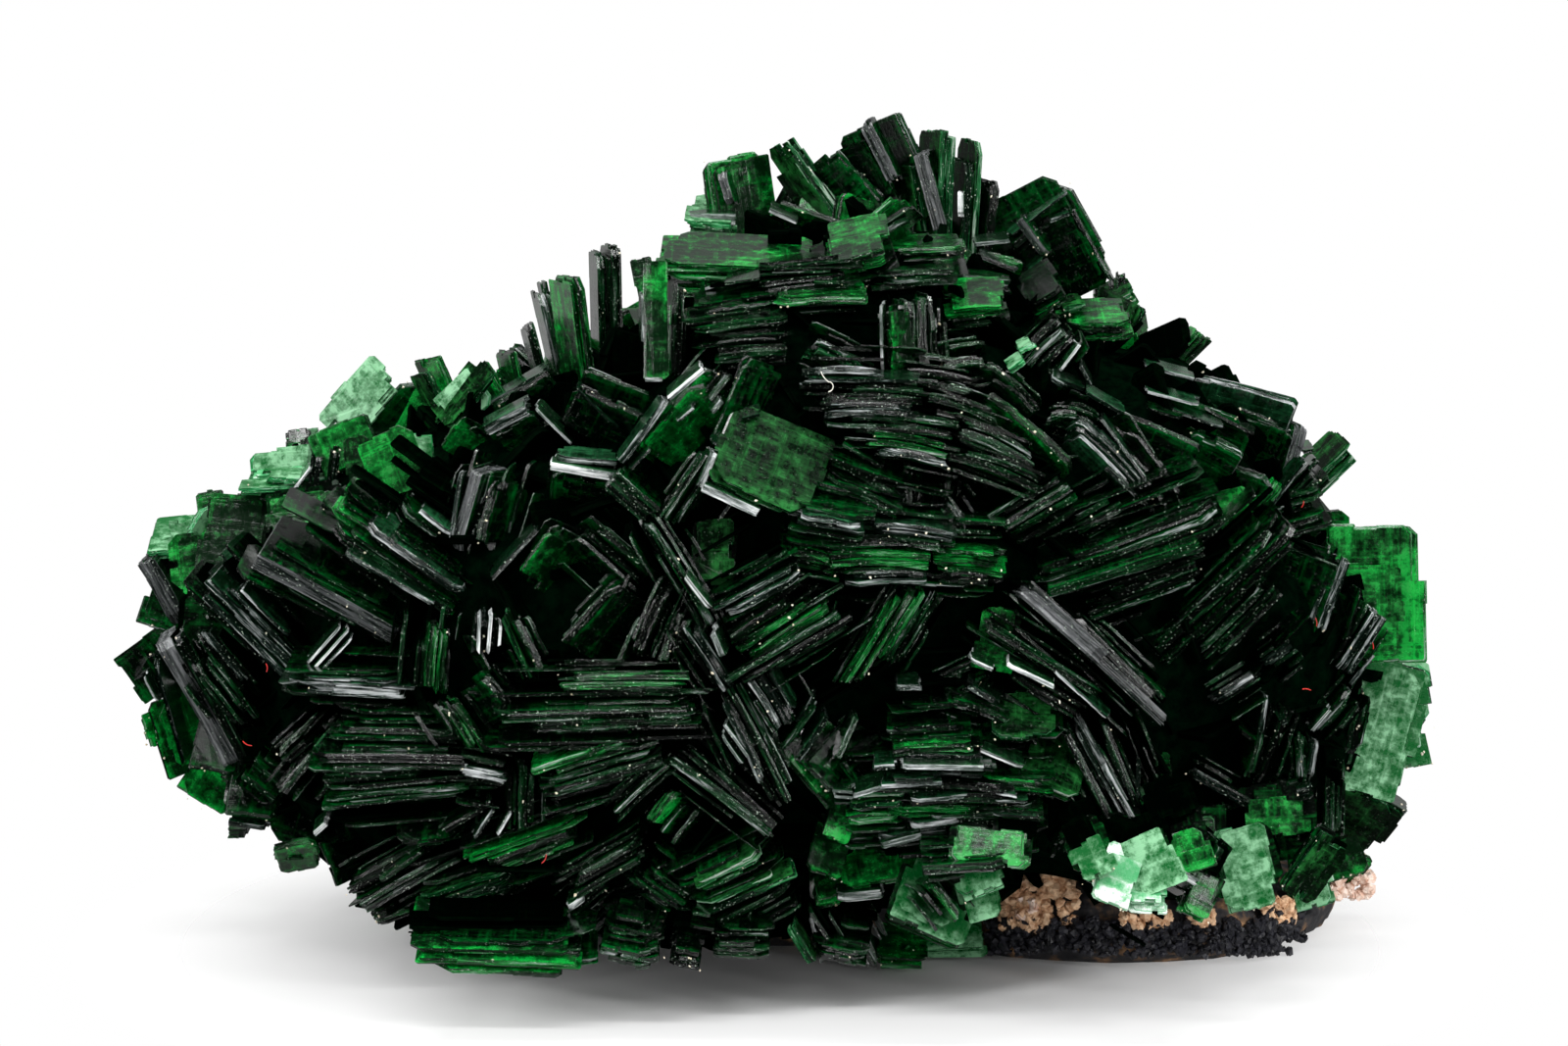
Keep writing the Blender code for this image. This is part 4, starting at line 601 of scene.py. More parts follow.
def stack_pages(dice, rim, thick, reach, pages, look_set, bulge):
    """Rings of every page of a stack, each shifted, turned and opened a little from the one before."""
    sheet, ragged, spread = look_set
    ragged = ragged * dice.choice(RAGGED_CHOICES)
    made = []
    parts = dice.uniform(0.4, 1.6, pages)
    parts /= parts.sum()
    for place, share in zip(np.cumsum(parts) - parts / 2 - 0.5, parts * PAGE_SHARE):
        length = rim * (1 - 0.15 * dice.random() - 0.4 * abs(place) * dice.random())
        rings = sheet_rings(dice, length, thick * share, reach, sheet, ragged, bulge * (1 - abs(place)))
        u, v, w = rings[..., 0], rings[..., 1], rings[..., 2]
        tilt = math.radians(spread * place * 2 + dice.normal(0, 0.35))
        yaw = math.radians(dice.normal(0, 0.6))
        roll = math.radians(dice.normal(0, 0.3))
        shift_u = (rim - length) * dice.uniform(-0.5, 0.5)
        shift_v = abs(dice.normal(0, 0.22)) if pages > 1 else 0.0
        moved = np.stack((
            u * math.cos(yaw) - (v - reach / 2) * math.sin(yaw) + shift_u,
            u * math.sin(yaw) + (v - reach / 2) * math.cos(yaw) + reach / 2 + shift_v,
            w + thick * place + (reach - v) * math.tan(tilt) + u * math.tan(roll),
        ), axis=-1)
        made.append((moved, rings))
    return made


def thin_prism(dice, rim, thick, reach):
    """A plain thin sheet: a rectangle of rim x reach with cut corners and a step in two of its edges."""
    half, cut = rim / 2, min(rim, reach) * dice.uniform(0.02, 0.2, 4)
    step, place = 0.25 * cut.max() + 0.05, dice.uniform(-0.5, 0.5, 2)
    outline = np.array((
        (-half + cut[0], 0.0), (half * place[0], 0.0), (half * place[0], step), (half - cut[1], step),
        (half, cut[1] + step), (half, reach - cut[2]), (half - cut[2], reach), (half * place[1], reach),
        (half * place[1], reach - step), (-half + cut[3], reach - step), (-half, reach - cut[3] - step),
        (-half, cut[0]),
    ))
    level = np.array((-0.5, 0.5))[:, None] * thick
    return np.stack((
        np.broadcast_to(outline[:, 0], (2, len(outline))), np.broadcast_to(outline[:, 1], (2, len(outline))),
        np.broadcast_to(level, (2, len(outline))),
    ), axis=-1)


class Crop:
    """Gathers closed shapes (rings and caps) into the arrays of one mesh."""

    def __init__(self):
        self.points, self.pages, self.tones, self.faces, self.caps = [], [], [], [], []
        self.rims, self.total = [], 0

    def add(self, rings, page, tone):
        """Adds rings[k, i] as a tube whose ends are closed by their own outlines."""
        levels, around = rings.shape[:2]
        index = np.arange(levels * around).reshape(levels, around) + self.total
        turned = np.roll(index, -1, axis=1)
        sides = np.stack((index[:-1], turned[:-1], turned[1:], index[1:]), axis=-1).reshape(-1, 4)
        self.points.append(rings.reshape(-1, 3))
        self.pages.append(page.reshape(-1, 3))
        self.tones.append(np.full(levels * around, tone))
        self.faces.append(sides)
        self.rims.append(np.repeat(np.arange(levels - 1) % 2 == 0, around))
        self.caps += [index[0, ::-1], index[-1]]
        self.total += levels * around

    def mesh(self, name):
        """The mesh in metres, with each point's place in its crystal, the crystal's tone, and its rims."""
        points = (np.concatenate(self.points) + SHIFT) * MM
        faces = np.concatenate(self.faces)
        corners = np.concatenate([faces.ravel()] + self.caps)
        sizes = np.concatenate((np.full(len(faces), 4), [len(cap) for cap in self.caps]))
        starts = np.concatenate(([0], np.cumsum(sizes)[:-1]))
        mesh = bpy.data.meshes.new(name)
        mesh.vertices.add(len(points))
        mesh.vertices.foreach_set("co", points.astype(np.float32).ravel())
        mesh.loops.add(len(corners))
        mesh.loops.foreach_set("vertex_index", corners.astype(np.int32))
        mesh.polygons.add(len(sizes))
        mesh.polygons.foreach_set("loop_start", starts.astype(np.int32))
        mesh.update(calc_edges=True)
        page = mesh.attributes.new("page", "FLOAT_VECTOR", "POINT")
        page.data.foreach_set("vector", np.concatenate(self.pages).astype(np.float32).ravel())
        tone = mesh.attributes.new("tone", "FLOAT", "POINT")
        tone.data.foreach_set("value", np.concatenate(self.tones).astype(np.float32))
        rim = mesh.attributes.new("rim", "FLOAT", "CORNER")
        rims = np.concatenate((np.concatenate(self.rims), np.zeros(len(self.caps))))
        rim.data.foreach_set("value", np.repeat(rims, sizes).astype(np.float32))
        mesh.shade_flat()
        return mesh


def new_piece(name, mesh, material, slot, *nodes):
    """A piece of the object: it rides on the root body and stands for the named solids."""
    piece = bpy.data.objects.new(name, mesh)
    bpy.context.scene.collection.objects.link(piece)
    mesh.materials.append(material)
    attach(piece, "root")
    if nodes:
        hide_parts(*nodes)
    return piece


# The finish of each look: raggedness in mm, transmission, absorption density per metre, roughness of faces
# and of rims, the share of the crystal with a painted green glow, relief of the faces' lines, how far lines
# rather than clouds colour the faces, and gloss.
Finish = collections.namedtuple("Finish", "ragged clear density face rim glow relief lined gloss")
FINISH = {
    # The deep look is painted shade: opaque, dull and near-black, for crystals deep in the crevices.
    "deep": Finish(0.2, 0.0, 0.0, (0.3, 0.5), (0.3, 0.5), 0.0, 0.1, 0.58, 0.0),
    "dark": Finish(0.26, 0.35, 5200.0, (0.06, 0.2), (0.08, 0.24), 0.42, 0.12, 0.58, 0.5),
    "emerald": Finish(0.3, 0.5, 2200.0, (0.1, 0.34), (0.12, 0.3), 0.56, 0.3, 0.42, 0.3),
    "clouded": Finish(0.34, 0.15, 4000.0, (0.2, 0.42), (0.14, 0.32), 0.5, 0.35, 0.45, 0.0),
    "milky": Finish(0.34, 0.25, 500.0, (0.2, 0.42), (0.16, 0.34), 0.6, 0.35, 0.28, 0.22),
    # The silvery look paints highlights: pale grey-white lines on its rims.
    "silvery": Finish(0.2, 0.3, 1800.0, (0.1, 0.25), (0.08, 0.26), 0.45, 0.2, 0.58, 0.5),
    # The white look paints glints: near-white rims over dark faces.
    "white": Finish(0.1, 0.1, 1800.0, (0.15, 0.3), (0.12, 0.3), 0.0, 0.2, 0.58, 0.5),
    "pale": Finish(0.2, 0.1, 300.0, (0.2, 0.4), (0.16, 0.3), 0.5, 0.3, 0.28, 0.4),
    # The slate look paints a dull grey reflection on its rims.
    "slate": Finish(0.12, 0.2, 4000.0, (0.1, 0.25), (0.2, 0.34), 0.3, 0.12, 0.58, 0.4),
}

# The colour that is left of white light inside each look, and the colour of the painted sparkles, small
# glints of light.
ABSORBED = {
    "dark": (0.0, 0.5, 0.1), "emerald": (0.0, 0.7, 0.15), "clouded": (0.02, 0.7, 0.2),
    "milky": (0.05, 0.8, 0.3), "silvery": (0.1, 0.7, 0.3), "white": (0.05, 0.7, 0.2),
    "pale": (0.4, 0.9, 0.6), "slate": (0.0, 0.5, 0.1),
}
SPARKLE_GLINT = (0.5, 0.6, 0.5)
CRYSTAL_IOR = 1.6

# Noises inside a crystal, in waves per millimetre along its rim, inward and through its sheets, with
# detail, roughness and a shift that parts them: sheets, mottling, growth lines both ways, painted glow,
# painted sparkles.
PAGE_NOISES = (
    ((0.35, 0.35, 4.6), 5.0, 0.7, 0.0), ((1.6, 1.6, 2.0), 6.0, 0.68, 5.0),
    ((4.0, 0.1, 0.6), 4.0, 0.72, 9.0), ((0.1, 4.0, 0.6), 4.0, 0.72, 13.0),
    ((0.24, 0.24, 0.5), 2.0, 0.6, 17.0), ((7.0, 7.0, 11.0), 2.0, 0.6, 23.0),
)

# Colours of the rims' fine lines for each look, from the darkest up. The pale top stops are painted
# highlights, glints of light on the rims; the deep look's stops are near-black painted shade.
RIM_STOPS = {
    "deep": ((0.4, (0.0002, 0.0005, 0.0003)), (0.7, (0.0008, 0.004, 0.0016))),
    "dark": (
        (0.42, (0.0002, 0.0008, 0.0004)), (0.50, (0.0006, 0.012, 0.003)), (0.56, (0.002, 0.07, 0.014)),
        (0.60, (0.05, 0.07, 0.06)), (0.70, (0.5, 0.53, 0.54)),
    ),
    "emerald": (
        (0.40, (0.0004, 0.004, 0.001)), (0.5, (0.0006, 0.05, 0.008)), (0.57, (0.002, 0.32, 0.04)),
        (0.62, (0.13, 0.32, 0.18)), (0.72, (0.6, 0.7, 0.62)),
    ),
    "clouded": (
        (0.40, (0.0004, 0.006, 0.002)), (0.5, (0.003, 0.05, 0.012)), (0.56, (0.02, 0.16, 0.05)),
        (0.60, (0.16, 0.26, 0.18)), (0.72, (0.6, 0.68, 0.6)),
    ),
    "milky": (
        (0.38, (0.0006, 0.02, 0.004)), (0.5, (0.006, 0.18, 0.04)), (0.57, (0.05, 0.42, 0.14)),
        (0.62, (0.3, 0.55, 0.38)), (0.74, (0.75, 0.88, 0.78)),
    ),
    "silvery": (
        (0.44, (0.0006, 0.004, 0.002)), (0.50, (0.02, 0.04, 0.03)), (0.55, (0.2, 0.22, 0.22)),
        (0.64, (0.66, 0.69, 0.7)),
    ),
    "pale": ((0.38, (0.02, 0.2, 0.06)), (0.5, (0.3, 0.6, 0.38)), (0.6, (0.85, 0.95, 0.88))),
    "slate": (
        (0.36, (0.002, 0.006, 0.004)), (0.44, (0.05, 0.056, 0.056)), (0.56, (0.1, 0.105, 0.11)),
        (0.66, (0.3, 0.31, 0.32)),
    ),
    "white": ((0.40, (0.06, 0.08, 0.07)), (0.5, (0.4, 0.43, 0.43)), (0.6, (0.88, 0.9, 0.9))),
}


def new_material(name):
    """A new material with its node tree and its shader."""
    made = bpy.data.materials.new(name)
    made.use_nodes = True
    tree = made.node_tree
    return made, tree, tree.nodes["Principled BSDF"]


def node(tree, kind, **values):
    """A new node; values are its own settings, or its inputs where a key is in_NAME or in_NUMBER."""
    made = tree.nodes.new("ShaderNode" + kind)
    for key, value in values.items():
        if key.startswith("in_"):
            socket = key[3:].replace("_", " ")
            made.inputs[int(socket) if socket.isdigit() else socket].default_value = value
        else:
            setattr(made, key, value)
    return made


def ramp(tree, factor, stops):
    """A colour ramp through (place, colour) stops, driven by the given output."""
    made = tree.nodes.new("ShaderNodeValToRGB")
    while len(made.color_ramp.elements) < len(stops):
        made.color_ramp.elements.new(0.5)
    for element, (place, colour) in zip(made.color_ramp.elements, stops):
        element.position = place
        element.color = (*colour, 1.0)
    tree.links.new(factor, made.inputs["Fac"])
    return made.outputs["Color"]


def span(tree, value, low, high):
    """The value, from 0.3 to 0.7, laid out between low and high."""
    made = node(tree, "MapRange", in_1=0.3, in_2=0.7, in_3=low, in_4=high)
    tree.links.new(value, made.inputs[0])
    return made.outputs[0]


def page_noise(tree, page, tone, stretch, detail, rough, shift):
    """Noise over a crystal's own axes, stretched along and across its sheets and different on each."""
    scaled = node(tree, "VectorMath", operation="MULTIPLY", in_1=stretch)
    tree.links.new(page, scaled.inputs[0])
    own = node(tree, "Math", operation="MULTIPLY_ADD", in_1=37.0, in_2=shift)
    tree.links.new(tone, own.inputs[0])
    moved = node(tree, "VectorMath", operation="ADD")
    tree.links.new(scaled.outputs[0], moved.inputs[0])
    tree.links.new(own.outputs[0], moved.inputs[1])
    made = node(tree, "TexNoise", in_Scale=1.0, in_Detail=detail, in_Roughness=rough)
    tree.links.new(moved.outputs[0], made.inputs["Vector"])
    return made.outputs["Fac"]


def sum_of(tree, first, second, share=1.0):
    """share * first + second, of two outputs or of an output and a number."""
    made = node(tree, "Math", operation="MULTIPLY_ADD", in_1=share)
    tree.links.new(first, made.inputs[0])
    if isinstance(second, float):
        made.inputs[2].default_value = second
    else:
        tree.links.new(second, made.inputs[2])
    return made.outputs[0]


def step_of(tree, value, low, high):
    """0 before low and 1 past high, eased in between."""
    made = node(tree, "MapRange", interpolation_type="SMOOTHSTEP", in_1=low, in_2=high, in_3=0.0, in_4=1.0)
    tree.links.new(value, made.inputs[0])
    return made.outputs[0]


def blend(tree, kind, factor, first, second):
    """Mix of two outputs, or of an output and a fixed colour."""
    made = node(tree, "Mix", data_type=kind)
    tree.links.new(factor, made.inputs["Factor"])
    tree.links.new(first, made.inputs["A"])
    if isinstance(second, tuple):
        made.inputs["B"].default_value = (*second, 1.0)
    else:
        tree.links.new(second, made.inputs["B"])
    return made.outputs["Result"]


def crystal_material(look, deep, bright):
    """See-through green crystal.

    Its faces have crossed growth lines and clouds, its rims fine lines whose pale ones are painted
    highlights.
    A painted glow makes it brighter green in patches, a painted highlight lightens the near edge, and
    painted sparkles stand mostly on the rims, except deep in the crevices.
    """
    finish = FINISH[look]
    made, tree, shader = new_material(look + "_metatorbernite")
    page = node(tree, "Attribute", attribute_name="page").outputs["Vector"]
    tone = node(tree, "Attribute", attribute_name="tone").outputs["Fac"]
    rim = node(tree, "Attribute", attribute_name="rim").outputs["Fac"]
    noises = [page_noise(tree, page, tone, *row) for row in PAGE_NOISES]
    sheets, mottle, lines_u, lines_v, glow, sparkle_noise = noises
    lines = node(tree, "Math", operation="MAXIMUM")
    tree.links.new(lines_u, lines.inputs[0])
    tree.links.new(lines_v, lines.inputs[1])
    # Painted glow: patches made brighter green, as if lit through.
    lit = step_of(tree, glow, 0.98 - finish.glow, 1.14 - finish.glow)
    cloud = sum_of(tree, mottle, sum_of(tree, tone, -0.1, 0.1), 1 - finish.lined)
    body = sum_of(tree, lit, sum_of(tree, lines.outputs[0], cloud, finish.lined), 0.1)
    line = sum_of(tree, lit, sum_of(tree, tone, sum_of(tree, sheets, -0.11, 1.0), 0.15), 0.035)
    middle = tuple(a * 0.7 + b * 0.3 for a, b in zip(deep, bright))
    # Painted highlight: the faces lighten towards each page's near edge.
    edge = node(tree, "SeparateXYZ")
    tree.links.new(page, edge.inputs[0])
    body = sum_of(tree, step_of(tree, edge.outputs["Y"], 0.5, 0.1), body, 0.08)
    face = ramp(tree, body, ((0.46, deep), (0.55, middle), (0.64, bright)))
    # Rims take their fine lines' colours, whose pale top stops are painted highlights.
    colour = blend(tree, "RGBA", rim, face, ramp(tree, line, RIM_STOPS[look]))
    # Painted sparkles: small glints of light, full on the rims and weak on the faces.
    sparkle_share = sum_of(tree, rim, 0.12, 0.88)
    sparkle_mask = node(tree, "Math", operation="MULTIPLY")
    tree.links.new(step_of(tree, sparkle_noise, 0.64, 0.72), sparkle_mask.inputs[0])
    tree.links.new(sparkle_share, sparkle_mask.inputs[1])
    if look != "deep":
        colour = blend(tree, "RGBA", sparkle_mask.outputs[0], colour, SPARKLE_GLINT)
    tree.links.new(colour, shader.inputs["Base Color"])
    rough = blend(
        tree, "FLOAT", rim, span(tree, mottle, *finish.face), span(tree, sheets, *finish.rim)
    )
    tree.links.new(rough, shader.inputs["Roughness"])
    relief = blend(tree, "FLOAT", rim, sum_of(tree, lines.outputs[0], 0.0, finish.relief), sheets)
    bump = node(tree, "Bump", in_Strength=1.0, in_Distance=RIM_RELIEF * MM)
    tree.links.new(relief, bump.inputs["Height"])
    tree.links.new(bump.outputs["Normal"], shader.inputs["Normal"])
    shader.inputs["IOR"].default_value = CRYSTAL_IOR
    shader.inputs["Specular IOR Level"].default_value = finish.gloss
    if finish.clear:
        shader.inputs["Transmission Weight"].default_value = finish.clear
        absorb = node(tree, "VolumeAbsorption", in_Color=(*ABSORBED[look], 1.0), in_Density=finish.density)
        tree.links.new(absorb.outputs[0], tree.nodes["Material Output"].inputs["Volume"])
    return made


def object_noise(tree, scale, detail=4.0, rough=0.6):
    """Noise over the piece's place, with scale in waves per millimetre."""
    coordinates = tree.nodes.new("ShaderNodeTexCoord")
    made = node(tree, "TexNoise", in_Scale=scale / MM, in_Detail=detail, in_Roughness=rough)
    tree.links.new(coordinates.outputs["Object"], made.inputs["Vector"])
    return made.outputs["Fac"]


def stone_material(name, stops, scale, shine, depth, gloss=0.5):
    """An opaque stone: colours and roughness follow noise over its place, with finer noise as relief."""
    made, tree, shader = new_material(name)
    shader.inputs["Specular IOR Level"].default_value = gloss
    grain = object_noise(tree, scale)
    tree.links.new(ramp(tree, grain, stops), shader.inputs["Base Color"])
    tree.links.new(span(tree, grain, *shine), shader.inputs["Roughness"])
    bump = node(tree, "Bump", in_Strength=0.6, in_Distance=depth * MM)
    tree.links.new(object_noise(tree, scale * 3), bump.inputs["Height"])
    tree.links.new(bump.outputs["Normal"], shader.inputs["Normal"])
    return made


def place_of(x):
    """The part of the specimen that a middle at x belongs to."""
    return "left" if x < LEFT_END else "right" if x > RIGHT_START else "middle"


def page_count(look, thick, pages):
    """How many pages a stack has; the slate slabs aren't divided further."""
    return pages if look == "g" else max(pages, int(round(thick / PAGE_THICK)))


def grow_seen(look, settings, crops):
    """Adds the seen stacks and slivers of one look to the crops by place, each with its own dice."""
    finish = FINISH[LOOKS[look]]
    look_set = (settings.sheet / MM, finish.ragged * settings.ragged, math.degrees(settings.spread))
    for number, (rows, bulge) in enumerate(SEEN_GROUPS.values()):
        for index, row in enumerate(rows):
            if row[8] != look:
                continue
            dice = np.random.default_rng((number, index))
            middle, axes, rim = seen_stack(row)
            thick, reach, pages = row[4], row[6], page_count(look, row[4], row[9])
            crop = crops[place_of(middle[0]) if look == "d" else ""]
            for rings, page in stack_pages(dice, rim, thick, reach, pages, look_set, bulge):
                add_above_floor(crop, rings @ axes + middle, page, dice.random())
    for index, (x_a, z_a, x_b, z_b, thick, out, own_look) in enumerate(SLIVERS):
        if own_look != look:
            continue
        dice = np.random.default_rng((SLIVER_SEED, index))
        middle, axes, rim = seen_stack((x_a, z_a, x_b, z_b, thick, SLIVER_TURN, SLIVER_REACH, out))
        rings = sheet_rings(dice, rim, thick, SLIVER_REACH, look_set[0], look_set[1] * SLIVER_RAGGED, 0.0)
        crop = crops[place_of(middle[0]) if look == "d" else ""]
        add_above_floor(crop, rings @ axes + middle, rings, dice.random())


def add_above_floor(crop, placed, page, tone):
    """Adds a page whose points below the floor's gap are lifted to it."""
    placed[..., 2] = np.maximum(placed[..., 2], FLOOR_GAP)
    crop.add(placed, page, tone)


def grow_parallels(settings):
    """Thin sheets parallel to every seen stack, beside it and deeper in: glossy near it, near-black painted
    shade further off.

    A sheet is kept where its middle lies within the root's outline and none of it is near the floor or
    seen below LOWEST_SEEN.
    """
    near, far = Crop(), Crop()
    for number, (rows, _) in enumerate(SEEN_GROUPS.values()):
        for index, row in enumerate(rows):
            dice = np.random.default_rng((PARALLEL_SEED + number, index))
            middle, axes, rim = seen_stack(row)
            thick, turn, reach = row[4], row[5], row[6]
            for copy in range(settings.parallels):
                side = -math.copysign(1.0, turn) if abs(turn) > FACING_TURN else dice.choice((-1.0, 1.0))
                away = thick / 2 + dice.uniform(0.05, 0.35 + 0.35 * copy)
                close = copy < NEAR_PARALLELS
                least, most = (0.15, 0.9) if close else (1.0, 1.8)
                sunk = least + 0.6 * (away - thick / 2) + dice.uniform(0.0, most)
                length, sheet = rim * dice.uniform(0.4, 0.95), dice.uniform(0.06, 0.2)
                page = thin_prism(dice, length, sheet, max(reach - sunk, 1.5))
                tilt = math.radians(dice.normal(0, 3.0) - side * 1.5 * copy)
                yaw = math.radians(dice.normal(0, 3.0))
                u, v, w = page[..., 0], page[..., 1], page[..., 2]
                moved = np.stack((
                    u * math.cos(yaw) - v * math.sin(yaw) + (rim - length) * dice.uniform(-0.6, 0.6),
                    u * math.sin(yaw) + v * math.cos(yaw) + sunk, w + v * math.tan(tilt) + side * away,
                ), axis=-1)
                placed = moved @ axes + middle
                x, _, z = placed.mean(axis=(0, 1))
                radius = root_radius(np.array(math.atan2(z - ROOT_HEIGHT, x)))
                inside = radius - 1.0 - math.hypot(x, z - ROOT_HEIGHT) > 0.0
                low = placed[..., 2].min() <= FLOOR_GAP or lowest_seen(placed) <= LOWEST_SEEN
                if inside and not low:
                    (near if close else far).add(placed, page, dice.random() * 0.8)
    return near, far


def grow_back(settings, count, sink, shrink, seed):
    """Stacks on the unseen side, whose rim and thickness swing between their limits with their number."""
    crop = Crop()
    look_set = (settings.sheet / MM, BACK_RAGGED * settings.ragged, math.degrees(settings.spread))
    for index in range(count):
        dice = np.random.default_rng((seed, index))
        start, axes = back_stack(index, count, sink)
        size, body = 0.5 + 0.5 * math.sin(index * 1.3), 0.5 + 0.5 * math.sin(index * 2.9)
        rim = (BACK_RIM[0] + (BACK_RIM[1] - BACK_RIM[0]) * size) * shrink
        thick = (BACK_THICK[0] + (BACK_THICK[1] - BACK_THICK[0]) * body) * shrink
        pages = page_count("d", thick, 1)
        for rings, page in stack_pages(dice, rim, thick, BACK_REACH, pages, look_set, 0.0):
            placed, tone = rings @ axes + start, dice.random()
            if not sink or placed[..., 2].min() > FLOOR_GAP:
                add_above_floor(crop, placed, page, tone)
    return crop


def front_filler(count):
    """Small crystals in the crevices of the side in view, near-black as painted shade, on a spiral over the
    root's front.
    """
    crop = Crop()
    for index in range(count):
        dice = np.random.default_rng((FILLER_SEED, index))
        lift = even_lift((index + 0.5) / count)
        angle = index * GOLDEN_TURN
        radius = float(root_radius(np.array(angle))) * lift
        depth = -ROOT_DEPTH * (1 - lift**ROOT_ROUNDING) ** (1 / ROOT_ROUNDING)
        middle = np.array((radius * math.cos(angle), depth, ROOT_HEIGHT + radius * math.sin(angle)))
        outward = unit(middle - (0.0, 0.0, ROOT_HEIGHT) + (0.0, -6.0, 0.0))
        side = unit(np.cross(outward, dice.normal(size=3)))
        turn = dice.normal(0, 0.35)
        across = np.cross(outward, side)
        axes = np.array((
            side,
            across * math.sin(turn) - outward * math.cos(turn),
            across * math.cos(turn) + outward * math.sin(turn),
        ))
        rim, reach, thick = dice.uniform(1.6, 4.2), dice.uniform(2.0, 3.5), dice.uniform(0.12, 0.5)
        rings = thin_prism(dice, rim, thick, reach)
        placed = rings @ axes + middle + outward * dice.uniform(-0.2, 0.7)
        if placed[..., 2].min() > FLOOR_GAP:
            crop.add(placed, rings, dice.random())
    return crop


def skin_mesh(name, points):
    """A closed skin from a grid whose end rows are tiny rings, which are capped."""
    crop = Crop()
    crop.add(points, points, 0.5)
    return crop.mesh(name)


def root_points(levels, around, shrink, rough):
    """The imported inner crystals: (x, z) = R(a) s(k) (cos a, sin a), y = D c(k), in blocky steps.

    s and c are powers of the sine and cosine of the swing from front to back, and R has a random step of up
    to rough for every block of 4 x 4 points.
    """
    swing = np.linspace(0.02, math.pi - 0.02, levels)[:, None]
    angle = np.linspace(0, math.tau, around, endpoint=False)[None, :]
    width = np.sin(swing) ** (2 / ROOT_ROUNDING)
    depth = -np.sign(np.cos(swing)) * np.abs(np.cos(swing)) ** (2 / ROOT_ROUNDING) * (ROOT_DEPTH - shrink)
    dice = np.random.default_rng(ROOT_SEED)
    block = dice.uniform(-rough, 0.0, size=(levels // 4 + 1, around // 4))
    block = block.repeat(4, axis=0).repeat(4, axis=1)[:levels]
    radius = (root_radius(angle) - shrink + block) * width
    x, z = radius * np.cos(angle), ROOT_HEIGHT + radius * np.sin(angle)
    points = np.stack((x, depth + 0 * angle, z), axis=-1)
    points[..., 2] = np.maximum(points[..., 2], FLOOR_GAP)
    return points[:, ::-1]


def rock_points(levels, around):
    """The rock: P(a, k) = middle + (outline(a) - middle) * share(k) at height(k), with knobs.

    The knobs are sums of sines of the place along three random directions, at five sizes.
    """
    middle = ROCK_OUTLINE.mean(axis=0)
    step = np.linspace(0, len(ROCK_OUTLINE), around, endpoint=False)
    closed = np.vstack((ROCK_OUTLINE, ROCK_OUTLINE[:1]))
    known = np.arange(len(closed))
    outline = np.stack([np.interp(step, known, closed[:, axis]) for axis in (0, 1)], axis=-1)
    run = np.concatenate(([0], np.cumsum(np.hypot(*np.diff(ROCK_LEVELS * (1, 12), axis=0).T))))
    place = np.linspace(0, run[-1] * 0.998, levels)
    height = np.interp(place, run, ROCK_LEVELS[:, 0])[:, None]
    share = np.interp(place, run, ROCK_LEVELS[:, 1])[:, None]
    arm = outline - middle
    flat = middle + arm[None] * share[..., None]
    wave = np.zeros((levels, around))
    dice = np.random.default_rng(ROCK_SEED)
    for size in (0.35, 0.6, 1.1, 2.1, 3.7):
        way = dice.normal(size=(3, 3))
        way /= np.linalg.norm(way, axis=1)[:, None]
        phase = sum(
            np.sin((flat[..., 0] * w[0] + flat[..., 1] * w[1] + height * w[2] * 1.5) * size * 1.9 + 7 * w[0])
            for w in way
        )
        wave += 0.1 / size**0.6 * phase
    grow = 1 + 0.022 * wave * np.clip(height / 0.5, 0, 1)
    flat = middle + (flat - middle) * grow[..., None]
    rise = height + 0.12 * wave * np.clip((height - 0.6) / 1.0, 0, 1)
    return np.concatenate((flat, np.broadcast_to(rise[..., None], (*flat.shape[:2], 1))), axis=-1)


def grains(seed, places, size, jitter):
    """Small angular grains: balls of 4 rings of 6 points, squashed and turned by the dice.

    None of their points goes below the floor.
    """
    dice = np.random.default_rng(seed)
    swing = np.array((0.25, 1.05, 2.09, 2.89))[:, None]
    angle = np.linspace(0, math.tau, 6, endpoint=False)[None, :]
    ball = np.stack((
        np.sin(swing) * np.cos(angle), np.sin(swing) * np.sin(angle), -np.cos(swing) + 0 * angle,
    ), axis=-1)
    crop = Crop()
    for place in places:
        radii = size * dice.uniform(0.6, 1.4) * dice.uniform(0.6, 1.2, 3)
        turn, _ = np.linalg.qr(dice.normal(size=(3, 3)))
        if np.linalg.det(turn) < 0:
            turn[0] *= -1
        lump = ball * radii * (1 + jitter * dice.uniform(-1, 1, ball.shape[:2])[..., None])
        placed = lump @ turn + place
        placed[..., 2] = np.maximum(placed[..., 2], 0.0)
        crop.add(placed, lump, dice.random())
    return crop


def rock_front(x):
    """Depth of the rock's front edge at x, from its outline."""
    front = ROCK_OUTLINE[ROCK_OUTLINE[:, 1] < 2]
    order = np.argsort(front[:, 0])
    return float(np.interp(x, front[order, 0], front[order, 1]))


def grain_places(dice, regions, proud):
    """Places on the rock's front edge: a number of grains scattered over each (x, z) patch as seen."""
    places = []
    for x_low, x_high, z_low, z_high, count in regions:
        for _ in range(count):
            x, z = dice.uniform(x_low, x_high), dice.uniform(z_low, z_high)
            point = along_sight(x, z, rock_front(x) - dice.uniform(0.0, proud))
            point[2] = max(point[2], LOWEST_GRAIN)
            places.append(point)
    return places


